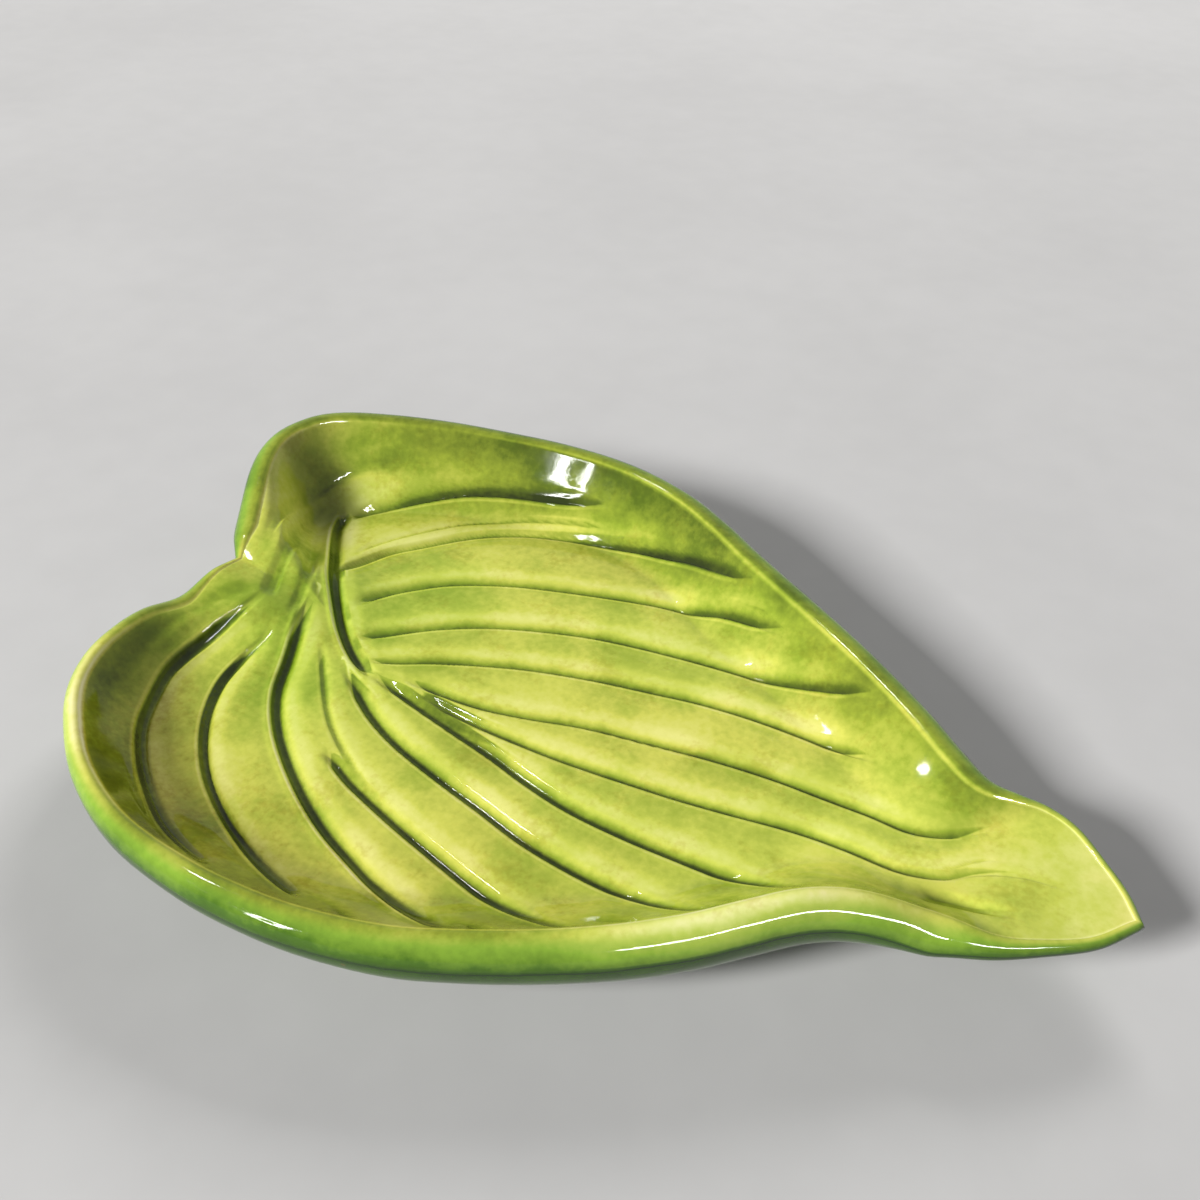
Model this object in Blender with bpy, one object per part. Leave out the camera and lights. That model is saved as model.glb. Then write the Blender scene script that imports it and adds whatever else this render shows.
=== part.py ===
"""Trinket dish shaped like a heart-shaped leaf, in metres, with +Z up.

One cast, glazed ceramic leaf stands on three stick-on pads. +X runs along the leaf from the stem
notch to the tip, +Y towards the side with the taller lobe, and the origin is on the table, under
the middle of the dish.
"""

import math

import bmesh
import bpy
import numpy as np

MM = 0.001

# Outline of the leaf, over the shoulder of its rim
LEAF_LENGTH = 127.4 * MM  # stem notch to tip
LEAF_HALF_WIDTH = 46.8 * MM  # middle line to the widest place of the outline

# Heights
FLOOR_THICKNESS = 5.2 * MM
WALL_HEIGHT = 12.2 * MM  # the tallest wall above the floor, at the tall lobe
TIP_FLOOR_RISE = 2.6 * MM  # the floor climbs by this to the tip
TIP_UNDERSIDE_RISE = 5.0 * MM  # and the underside by this
LOBE_EDGE_LIFT = 2.6 * MM  # the outer edge of the underside, round the two lobes
LOBE_LIFT_RUN = 9.0 * MM  # and how far in from that edge the underside is bent up
STEM_MOUND_HEIGHT = 4.6 * MM  # where the stem ran in, at the notch
POCKET_DEPTH = 1.3 * MM  # pinched hollow behind the wave of the rim

# Stem mound and pocket, seen from above
STEM_MOUND_LENGTH = 26.0 * MM
STEM_MOUND_HALF_WIDTH = 7.5 * MM
STEM_RIDGE_HALF_WIDTH = 3.0 * MM
POCKET_LENGTH = 5.0 * MM
POCKET_WIDTH = 3.0 * MM

# Rim and wall section
WALL_BELLY = 0.95 * MM  # the outer wall bulges past the outline by this
WALL_TUCK = 7.0 * MM  # and then tucks in under the leaf by this
SHOULDER_WIDTH = 3.0 * MM  # the rolled shoulder, from the widest place in to the rim's crest
SHOULDER_DROP = 2.6 * MM  # and from the crest down to the widest place
RIM_LIP_WIDTH = 0.9 * MM  # from the crest in to the inner edge
RIM_LIP_DROP = 0.35 * MM
FULL_RIM_WALL_HEIGHT = 3.0 * MM  # where the wall is lower than this, the rim thins out
WALL_SLOPE_RUN = 8.2 * MM  # inner wall, from the rim's edge to the flat floor
STEM_SLOPE_RUN = 12.0 * MM  # the same, beside the stem notch

# Grooves of the veins
GROOVE_DEPTH = 1.15 * MM
CRISP_SIDE_WIDTH = 2.0 * MM  # the steep flank
SOFT_SIDE_WIDTH = 5.0 * MM  # the pillowed flank

# Stick-on pads
PAD_DIAMETER = 10.0 * MM
PAD_THICKNESS = 1.5 * MM
PAD_EDGE_RADIUS = 0.4 * MM
ADHESIVE_GAP = 0.3 * MM  # film of glue between a pad and the glaze

# The hub line, from which rays run out to the rim, and the rings of the underside along them
HUB_START_SHARE = 0.11
HUB_END_SHARE = 0.925
HUB_SPACING_POWER = 1.15
UNDERSIDE_RAY_SHARES = (0.0, 0.35, 0.6, 0.75, 0.85, 0.93)

# Outline on the tall lobe's side, from the stem notch to the tip: share of the leaf's
# length, share of its half width, and share of the wall's height above the floor
TALL_SIDE_SHARES = (
    (0.000, 0.000, 0.02),
    (-0.030, 0.120, 0.30),
    (-0.060, 0.290, 0.80),
    (-0.072, 0.430, 0.96),
    (-0.060, 0.560, 1.00),
    (-0.033, 0.660, 0.98),
    (0.020, 0.750, 0.93),
    (0.090, 0.835, 0.86),
    (0.165, 0.895, 0.80),
    (0.230, 0.932, 0.77),
    (0.295, 0.948, 0.74),
    (0.355, 0.935, 0.72),
    (0.420, 0.890, 0.69),
    (0.480, 0.812, 0.66),
    (0.532, 0.730, 0.63),
    (0.647, 0.565, 0.56),
    (0.713, 0.465, 0.50),
    (0.768, 0.370, 0.41),
    (0.812, 0.287, 0.29),
    (0.845, 0.238, 0.18),
    (0.873, 0.238, 0.10),
    (0.900, 0.240, 0.05),
    (0.930, 0.210, 0.03),
    (0.960, 0.140, 0.01),
    (0.983, 0.075, 0.00),
    (1.000, 0.000, 0.00),
)

# The same on the low lobe's side, where the rim rises in a wave before the tip
LOW_SIDE_SHARES = (
    (0.000, 0.000, 0.02),
    (-0.010, -0.180, 0.16),
    (-0.022, -0.335, 0.44),
    (-0.019, -0.500, 0.52),
    (0.002, -0.640, 0.55),
    (0.038, -0.755, 0.56),
    (0.098, -0.880, 0.53),
    (0.173, -0.965, 0.50),
    (0.260, -1.000, 0.49),
    (0.330, -0.998, 0.47),
    (0.390, -0.975, 0.45),
    (0.456, -0.925, 0.43),
    (0.510, -0.860, 0.43),
    (0.575, -0.767, 0.44),
    (0.630, -0.675, 0.47),
    (0.677, -0.580, 0.50),
    (0.713, -0.495, 0.54),
    (0.748, -0.410, 0.54),
    (0.780, -0.350, 0.46),
    (0.820, -0.305, 0.34),
    (0.858, -0.270, 0.19),
    (0.898, -0.237, 0.09),
    (0.934, -0.178, 0.04),
    (0.972, -0.098, 0.00),
    (1.000, 0.000, 0.00),
)

# Places on the leaf: shares of its length and half width
TIP_RISE_START_SHARE = 0.69
TIP_FLOOR_END_SHARE = 0.92
TIP_UNDERSIDE_START_SHARE = 0.66
LOBE_LIFT_FULL_SHARE = 0.26
LOBE_LIFT_END_SHARE = 0.54
POCKET_SHARES = (0.820, -0.180)
PAD_SHARES = {
    "foot_pad_low_lobe": (0.170, -0.52),
    "foot_pad_tall_lobe": (0.150, 0.52),
    "foot_pad_tip": (0.610, 0.00),
}

# Vein grooves, each from the stem out: depth share, steep flank on the left (1) or on the right
# (-1) of the way the groove runs, and its points as shares of the leaf's length and half width
VEIN_SHARES = (
    (1.00, -1, ((0.010, 0.46), (0.050, 0.27), (0.090, 0.14), (0.142, -0.02), (0.200, -0.15))),
    (0.80, 1, ((0.070, -0.06), (0.030, -0.28), (0.045, -0.54), (0.112, -0.75), (0.245, -0.90))),
    (0.95, 1, ((0.088, -0.11), (0.088, -0.32), (0.130, -0.58), (0.212, -0.75), (0.340, -0.87))),
    (0.95, -1, ((0.100, 0.04), (0.135, -0.24), (0.172, -0.41), (0.275, -0.61), (0.460, -0.80))),
    (0.85, -1, ((0.150, -0.11), (0.217, -0.33), (0.290, -0.47), (0.406, -0.60), (0.580, -0.67))),
    (1.00, -1, ((0.200, -0.15), (0.270, -0.28), (0.390, -0.40), (0.560, -0.47), (0.680, -0.47))),
    (0.85, -1, ((0.205, -0.15), (0.284, -0.16), (0.450, -0.27), (0.600, -0.31), (0.760, -0.29))),
    (0.85, -1, ((0.300, -0.12), (0.366, -0.17), (0.530, -0.14), (0.800, -0.11), (0.950, 0.02))),
    (0.80, -1, ((0.290, -0.10), (0.384, -0.08), (0.580, 0.04), (0.790, 0.03), (0.890, 0.18))),
    (0.75, -1, ((0.200, -0.14), (0.290, 0.00), (0.494, 0.16), (0.620, 0.26), (0.750, 0.22))),
    (0.75, -1, ((0.170, -0.09), (0.250, 0.12), (0.454, 0.32), (0.600, 0.41), (0.720, 0.35))),
    (0.75, -1, ((0.142, 0.02), (0.182, 0.22), (0.330, 0.45), (0.464, 0.56), (0.610, 0.53))),
    (1.00, -1, ((0.092, 0.15), (0.140, 0.43), (0.235, 0.64), (0.378, 0.75), (0.520, 0.67))),
    (0.90, -1, ((0.030, 0.41), (0.096, 0.66), (0.202, 0.78), (0.280, 0.82), (0.345, 0.84))),
    (0.80, -1, ((-0.028, 0.35), (-0.005, 0.58), (0.038, 0.67), (0.075, 0.72))),
)
GROOVE_FADE_SHARE = 0.15  # of a groove's length, at each end
GROOVE_BLEND_POWER = 4
WALL_GROOVE_SHARE = 0.75  # how much of a groove's depth is lost at the top of the wall

# Shape of the section
WALL_FALL_POWER = 2.1
TUCK_POWER = 2.8
LONGEST_TUCK_SHARE = 0.6  # of the way in to the hub line, where the leaf is narrow
THIN_RIM_SHARE = 0.3

# Fineness of the mesh
SIDE_STEPS = 60
SPLINE_STEPS = 24
OUTER_WALL_RINGS = 5
SHOULDER_RINGS = 5
LIP_RINGS = 2
INNER_RINGS = 30
INNER_SPACING_POWER = 1.15
PAD_STEPS = 32
PAD_EDGE_STEPS = 4
NORMAL_SMOOTHING_PASSES = 2
SHARP_ANGLE = math.radians(40.0)
MERGE_DISTANCE = 0.001 * MM

SEAT_HEIGHT = PAD_THICKNESS + ADHESIVE_GAP
FLOOR_HEIGHT = SEAT_HEIGHT + FLOOR_THICKNESS


def clear_scene():
    """Removes whatever objects the scene starts with."""
    for item in list(bpy.data.objects):
        bpy.data.objects.remove(item, do_unlink=True)


def make_material(name, colour, roughness, coat=0.0):
    """A plain surface with the piece's own colour and gloss."""
    material = bpy.data.materials.new(name)
    material.use_nodes = True
    shader = material.node_tree.nodes["Principled BSDF"]
    shader.inputs["Base Color"].default_value = (*colour, 1.0)
    shader.inputs["Roughness"].default_value = roughness
    shader.inputs["Coat Weight"].default_value = coat
    return material


def ease(value):
    """0 below 0, 1 above 1, and a smooth step between."""
    value = np.clip(value, 0.0, 1.0)
    return value * value * (3.0 - 2.0 * value)


def spline(points):
    """Points along a smooth curve through the given ones, which keeps its two ends."""
    points = np.asarray(points, float)
    before = 2 * points[0] - points[1]
    after = 2 * points[-1] - points[-2]
    knots = np.vstack([before, points, after])
    steps = np.linspace(0.0, 1.0, SPLINE_STEPS, endpoint=False)[:, None]
    pieces = []
    for a, b, c, d in zip(knots, knots[1:], knots[2:], knots[3:]):
        linear = (c - a) * steps
        square = (2 * a - 5 * b + 4 * c - d) * steps**2
        cube = (3 * b - a - 3 * c + d) * steps**3
        pieces.append(b + 0.5 * (linear + square + cube))
    return np.vstack(pieces + [points[-1:]])


def evenly(curve, count):
    """The curve resampled at count equal steps of its length."""
    lengths = np.linalg.norm(np.diff(curve, axis=0), axis=1)
    along = np.concatenate([[0.0], np.cumsum(lengths)])
    wanted = np.linspace(0.0, along[-1], count + 1)
    return np.stack([np.interp(wanted, along, column) for column in curve.T], axis=1)


def underside_height(x):
    """Height of the underside: a flat seat, which climbs towards the tip."""
    start = TIP_UNDERSIDE_START_SHARE * LEAF_LENGTH
    return SEAT_HEIGHT + TIP_UNDERSIDE_RISE * ease((x - start) / (LEAF_LENGTH - start))


def lobe_lift(x):
    """How far the outer edge of the underside is bent up: most at the lobes, and not at the tip."""
    start = LOBE_LIFT_END_SHARE * LEAF_LENGTH
    full = LOBE_LIFT_FULL_SHARE * LEAF_LENGTH
    return LOBE_EDGE_LIFT * ease((start - x) / (start - full))


def floor_height(x, y):
    """Height of the dish's floor without its grooves: flat, but for the tip, stem and pocket."""
    start = TIP_RISE_START_SHARE * LEAF_LENGTH
    end = TIP_FLOOR_END_SHARE * LEAF_LENGTH
    rise = TIP_FLOOR_RISE * ease((x - start) / (end - start))
    off_ridge = np.maximum(np.abs(y) - STEM_RIDGE_HALF_WIDTH, 0.0) / STEM_MOUND_HALF_WIDTH
    mound = STEM_MOUND_HEIGHT * (1.0 - ease(x / STEM_MOUND_LENGTH)) * np.exp(-(off_ridge**2))
    along = (x - POCKET_SHARES[0] * LEAF_LENGTH) / POCKET_LENGTH
    across = (y - POCKET_SHARES[1] * LEAF_HALF_WIDTH) / POCKET_WIDTH
    pocket = POCKET_DEPTH * np.exp(-(along**2) - across**2)
    return FLOOR_HEIGHT + rise + mound - pocket


def groove_profile(x, y, curve, steep_side):
    """Depth of one groove at each place, from 0 beside it to 1 along its middle."""
    starts = curve[:-1]
    steps = np.diff(curve, axis=0)
    squares = (steps**2).sum(axis=1)
    from_start = np.stack([x, y], axis=-1)[:, None, :] - starts
    share = np.clip((from_start * steps).sum(axis=2) / squares, 0.0, 1.0)
    away = from_start - share[:, :, None] * steps
    distance = np.linalg.norm(away, axis=2)
    nearest = distance.argmin(axis=1)
    rows = np.arange(len(nearest))
    distance = distance[rows, nearest]
    near_step = steps[nearest]
    near_way = away[rows, nearest]
    side = near_step[:, 0] * near_way[:, 1] - near_step[:, 1] * near_way[:, 0]
    width = np.where(side * steep_side > 0.0, CRISP_SIDE_WIDTH, SOFT_SIDE_WIDTH)
    across = ease(1.0 - distance / width)
    along = (nearest + share[rows, nearest]) / len(steps)
    fade = ease(along / GROOVE_FADE_SHARE) * ease((1.0 - along) / GROOVE_FADE_SHARE)
    return across * fade


def groove_depth(x, y):
    """Depth of all the vein grooves together, blended where two of them meet."""
    total = np.zeros_like(x)
    for depth_share, steep_side, shares in VEIN_SHARES:
        points = np.array(shares) * (LEAF_LENGTH, LEAF_HALF_WIDTH)
        curve = evenly(spline(points), SIDE_STEPS)
        total += (depth_share * groove_profile(x, y, curve, steep_side)) ** GROOVE_BLEND_POWER
    return GROOVE_DEPTH * total ** (1.0 / GROOVE_BLEND_POWER)


def rim_outline():
    """Plan points of the outline all the way round, with the wall's height at each."""
    size = (LEAF_LENGTH, LEAF_HALF_WIDTH, WALL_HEIGHT)
    out = evenly(spline(np.array(TALL_SIDE_SHARES) * size), SIDE_STEPS)
    back = evenly(spline(np.array(LOW_SIDE_SHARES[::-1]) * size), SIDE_STEPS)
    outline = np.vstack([out[:-1], back[:-1]])
    return outline[:, :2], np.maximum(outline[:, 2], 0.0)


def outward_normals(outline):
    """Level directions that point out of the outline, softened at its corners."""
    along = np.roll(outline, -1, axis=0) - np.roll(outline, 1, axis=0)
    normals = np.stack([-along[:, 1], along[:, 0]], axis=1)
    normals /= np.linalg.norm(normals, axis=1)[:, None]
    for _ in range(NORMAL_SMOOTHING_PASSES):
        normals = np.roll(normals, 1, axis=0) + 2 * normals + np.roll(normals, -1, axis=0)
        normals /= np.linalg.norm(normals, axis=1)[:, None]
    return normals


def leaf_rings():
    """Rings of points from the middle of the underside, out over the rim, to the middle inside."""
    outline, wall = rim_outline()
    normals = outward_normals(outline)
    steps = np.arange(2 * SIDE_STEPS)
    along = np.minimum(steps, 2 * SIDE_STEPS - steps) / SIDE_STEPS
    hub_share = HUB_START_SHARE + (HUB_END_SHARE - HUB_START_SHARE) * along**HUB_SPACING_POWER
    hub = np.stack([hub_share * LEAF_LENGTH, np.zeros_like(along)], axis=1)
    fullness = THIN_RIM_SHARE + (1.0 - THIN_RIM_SHARE) * ease(wall / FULL_RIM_WALL_HEIGHT)
    rings = []

    def add_ring(offset, height):
        plan = outline + normals * offset[:, None]
        rings.append(np.column_stack([plan, height]))

    widest = WALL_BELLY * fullness
    crest = widest - SHOULDER_WIDTH * fullness
    edge_offset = crest - RIM_LIP_WIDTH * fullness
    edge = outline + normals * edge_offset[:, None]
    edge_height = floor_height(edge[:, 0], edge[:, 1]) + wall
    crest_height = edge_height + RIM_LIP_DROP * fullness
    widest_height = crest_height - SHOULDER_DROP * fullness

    way_in = np.abs(((hub - outline) * normals).sum(axis=1))
    tuck_run = np.minimum(WALL_TUCK, way_in * LONGEST_TUCK_SHARE)
    foot = outline + (hub - outline) * (tuck_run / way_in)[:, None]
    for share in UNDERSIDE_RAY_SHARES:
        plan = hub + (foot - hub) * share
        x = plan[:, 0]
        from_foot = (way_in - tuck_run) * (1.0 - share)
        bent = ease(1.0 - from_foot / LOBE_LIFT_RUN) * ease(share)
        rings.append(np.column_stack([plan, underside_height(x) + lobe_lift(x) * bent]))
    belly = outline + normals * widest[:, None]
    for fall in np.linspace(1.0, 0.0, OUTER_WALL_RINGS, endpoint=False):
        plan = belly + (foot - belly) * fall**TUCK_POWER
        base = underside_height(plan[:, 0]) + lobe_lift(plan[:, 0])
        rings.append(np.column_stack([plan, widest_height + (base - widest_height) * fall]))
    for turn in np.linspace(0.0, math.pi / 2, SHOULDER_RINGS, endpoint=False):
        rise = SHOULDER_DROP * math.sin(turn)
        inward = SHOULDER_WIDTH * (1.0 - math.cos(turn))
        add_ring(widest - inward * fullness, widest_height + rise * fullness)
    for share in np.linspace(0.0, 1.0, LIP_RINGS, endpoint=False):
        drop = RIM_LIP_DROP * fullness * share**2
        add_ring(crest + (edge_offset - crest) * share, crest_height - drop)

    ray = hub - edge
    reach = np.abs((ray * normals).sum(axis=1))
    run = STEM_SLOPE_RUN + (WALL_SLOPE_RUN - STEM_SLOPE_RUN) * ease(along / HUB_START_SHARE)
    run = np.minimum(run, reach)
    for share in np.linspace(0.0, 1.0, INNER_RINGS + 1) ** INNER_SPACING_POWER:
        plan = edge + ray * share
        x, y = plan.T
        fall = np.clip(reach * share / run, 0.0, 1.0)
        climb = (1.0 - fall) ** WALL_FALL_POWER
        groove = groove_depth(x, y) * (1.0 - WALL_GROOVE_SHARE * climb) * ease(fall)
        rings.append(np.column_stack([plan, floor_height(x, y) + wall * climb - groove]))
    return np.array(rings)


def turned(profile, steps):
    """A bmesh of the profile turned right round the Z axis."""
    mesh = bmesh.new()
    points = [mesh.verts.new(point) for point in profile]
    edges = [mesh.edges.new(pair) for pair in zip(points, points[1:])]
    bmesh.ops.spin(
        mesh,
        geom=points + edges,
        cent=(0.0, 0.0, 0.0),
        axis=(0.0, 0.0, 1.0),
        angle=math.tau,
        steps=steps,
        use_merge=True,
    )
    return mesh


def finish(mesh, name, material):
    """Turns a bmesh into a smooth-shaded object with its faces pointing out."""
    bmesh.ops.remove_doubles(mesh, verts=mesh.verts, dist=MERGE_DISTANCE)
    bmesh.ops.recalc_face_normals(mesh, faces=mesh.faces)
    data = bpy.data.meshes.new(name)
    mesh.to_mesh(data)
    mesh.free()
    data.materials.append(material)
    data.shade_smooth()
    made = bpy.data.objects.new(name, data)
    bpy.context.scene.collection.objects.link(made)
    return made


def make_leaf_body(rings, middle):
    """A plain turned sleeve, one level for each ring, drawn onto the leaf's rings."""
    sleeve = turned([(1.0, 0.0, float(level)) for level in range(len(rings))], 2 * SIDE_STEPS)
    for point in sleeve.verts:
        turn = math.atan2(point.co.y, point.co.x) / math.tau
        step = round(turn * 2 * SIDE_STEPS) % (2 * SIDE_STEPS)
        point.co = rings[round(point.co.z)][step] - middle
    glaze = make_material("leaf_green_glaze", (0.33, 0.48, 0.06), 0.12, coat=0.6)
    return finish(sleeve, "leaf_body", glaze)


def make_pad(name, shares, middle, material):
    """A round stick-on pad, its flat foot on the table and its top just under the leaf."""
    radius = PAD_DIAMETER / 2
    corner = radius - PAD_EDGE_RADIUS
    profile = [(0.0, 0.0, 0.0)]
    for step in range(PAD_EDGE_STEPS + 1):
        turn = math.pi / 2 * step / PAD_EDGE_STEPS
        across = corner + PAD_EDGE_RADIUS * math.sin(turn)
        profile.append((across, 0.0, PAD_EDGE_RADIUS * (1.0 - math.cos(turn))))
    profile.append((radius, 0.0, PAD_THICKNESS))
    profile.append((0.0, 0.0, PAD_THICKNESS))
    pad = finish(turned(profile, PAD_STEPS), name, material)
    pad.data.set_sharp_from_angle(angle=SHARP_ANGLE)
    pad.location = (
        shares[0] * LEAF_LENGTH - middle[0],
        shares[1] * LEAF_HALF_WIDTH - middle[1],
        0.0,
    )
    return pad


def main():
    clear_scene()
    rings = leaf_rings()
    points = rings.reshape(-1, 3)
    middle = (points.min(axis=0) + points.max(axis=0)) / 2
    middle[2] = 0.0
    make_leaf_body(rings, middle)
    rubber = make_material("clear_rubber", (0.62, 0.63, 0.60), 0.45)
    for name, shares in PAD_SHARES.items():
        make_pad(name, shares, middle, rubber)


main()
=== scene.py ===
"""Looks of the leaf-shaped trinket dish: its fine ceramic body, green glaze, pads, floor and light.

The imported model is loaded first, as the frame that every piece is built in: metres, +Z up, +X along
the leaf from the stem notch to the tip, and the origin on the table under the middle of the dish.
"""

import logging
import math
from dataclasses import dataclass
from enum import Enum

import bmesh
import bpy
import numpy as np
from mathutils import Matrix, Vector, noise


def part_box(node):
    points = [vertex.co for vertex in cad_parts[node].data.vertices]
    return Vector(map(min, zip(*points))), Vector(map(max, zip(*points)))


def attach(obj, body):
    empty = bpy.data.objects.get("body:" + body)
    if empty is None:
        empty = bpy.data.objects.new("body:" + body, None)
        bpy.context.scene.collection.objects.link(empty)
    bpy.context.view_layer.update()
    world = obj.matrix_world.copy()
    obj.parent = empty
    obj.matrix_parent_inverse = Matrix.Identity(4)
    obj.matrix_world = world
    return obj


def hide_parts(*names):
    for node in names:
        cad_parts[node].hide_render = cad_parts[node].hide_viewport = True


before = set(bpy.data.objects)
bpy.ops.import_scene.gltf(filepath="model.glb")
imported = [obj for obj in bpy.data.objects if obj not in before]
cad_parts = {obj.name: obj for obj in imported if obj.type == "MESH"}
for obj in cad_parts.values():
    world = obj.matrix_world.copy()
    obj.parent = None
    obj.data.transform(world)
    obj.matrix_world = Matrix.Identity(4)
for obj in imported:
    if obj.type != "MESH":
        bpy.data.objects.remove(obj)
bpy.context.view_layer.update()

MM = 0.001
MERGE_DISTANCE = 0.001 * MM
LOG = logging.getLogger("leaf_dish")

Colour = tuple[float, float, float]
Point = tuple[float, float]

# How the grooves work on the floor's points, in millimetres where it isn't a share or a power
GROOVE_REACH = 6.5
NO_GROOVE = 9.0
NEXT_GROOVE = 1.2
FADED_DISTANCE = 3.0
PULL_WIDTH = 0.42
PULL_SHARE = 0.75
CLEAR_DEPTH = 0.6
BLEND_POWER = 4


class Mask(Enum):
    """Values kept on the points of the leaf, from which its glaze takes its colour."""

    POOL = "glaze_pool"
    VEIN_SIDE = "vein_side"  # millimetres into a groove from the nearer of its two edges
    # paler crest of each lamina: partly thin glaze, partly painted sheen; the tip is paler too
    CROWN = "lamina_crown"
    LIP = "groove_lip"
    RIM_PLACE = "rim_place"  # millimetres out from the inner edge of the rim
    # inner wall, rim and far floor darker: partly thicker glaze, partly painted shade
    WALL = "inner_wall"
    # painted shade on each lamina as it nears the crisp edge of a groove
    DUSK = "lamina_dusk"
    SHADE = "soft_groove"
    THIN_RIM = "thin_rim"
    OUTSIDE = "outer_fall"
    # olive tint beside the low wall: partly the glaze's own colour, partly painted shade of the rim
    HAZE = "olive_haze"
    HEART = "green_heart"


def ease(value: np.ndarray) -> np.ndarray:
    """0 below 0, 1 above 1, and a smooth step between."""
    value = np.clip(value, 0.0, 1.0)
    return value * value * (3.0 - 2.0 * value)


def bell(value: np.ndarray, middle: float, width: float) -> np.ndarray:
    """A smooth hump, 1 at its middle and 0.37 one width away from it."""
    return np.exp(-(((value - middle) / width) ** 2))


def fall_off(value: np.ndarray, start: float, run: float | np.ndarray) -> np.ndarray:
    """1 up to the start, and a smooth fall to 0 over the run."""
    return 1.0 - ease((value - start) / run)


def spline(points: np.ndarray, steps: int = 24) -> np.ndarray:
    """Points along a smooth curve through the given ones.

    Args:
        points: The places that the curve passes through, one row each.
        steps: How many points each stretch between two of them gets.

    Returns:
        The curve's points, which keep the first and the last place.
    """
    points = np.asarray(points, float)
    knots = np.vstack([2 * points[0] - points[1], points, 2 * points[-1] - points[-2]])
    share = np.linspace(0.0, 1.0, steps, endpoint=False)[:, None]
    pieces = []
    for a, b, c, d in zip(knots, knots[1:], knots[2:], knots[3:]):
        linear = (c - a) * share
        square = (2 * a - 5 * b + 4 * c - d) * share**2
        cube = (3 * b - a - 3 * c + d) * share**3
        pieces.append(b + 0.5 * (linear + square + cube))
    return np.vstack(pieces + [points[-1:]])


def evenly(curve: np.ndarray, count: int) -> np.ndarray:
    """The curve resampled at count equal steps of its length."""
    lengths = np.linalg.norm(np.diff(curve, axis=0), axis=1)
    along = np.concatenate([[0.0], np.cumsum(lengths)])
    wanted = np.linspace(0.0, along[-1], count + 1)
    return np.stack([np.interp(wanted, along, column) for column in curve.T], axis=1)


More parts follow.
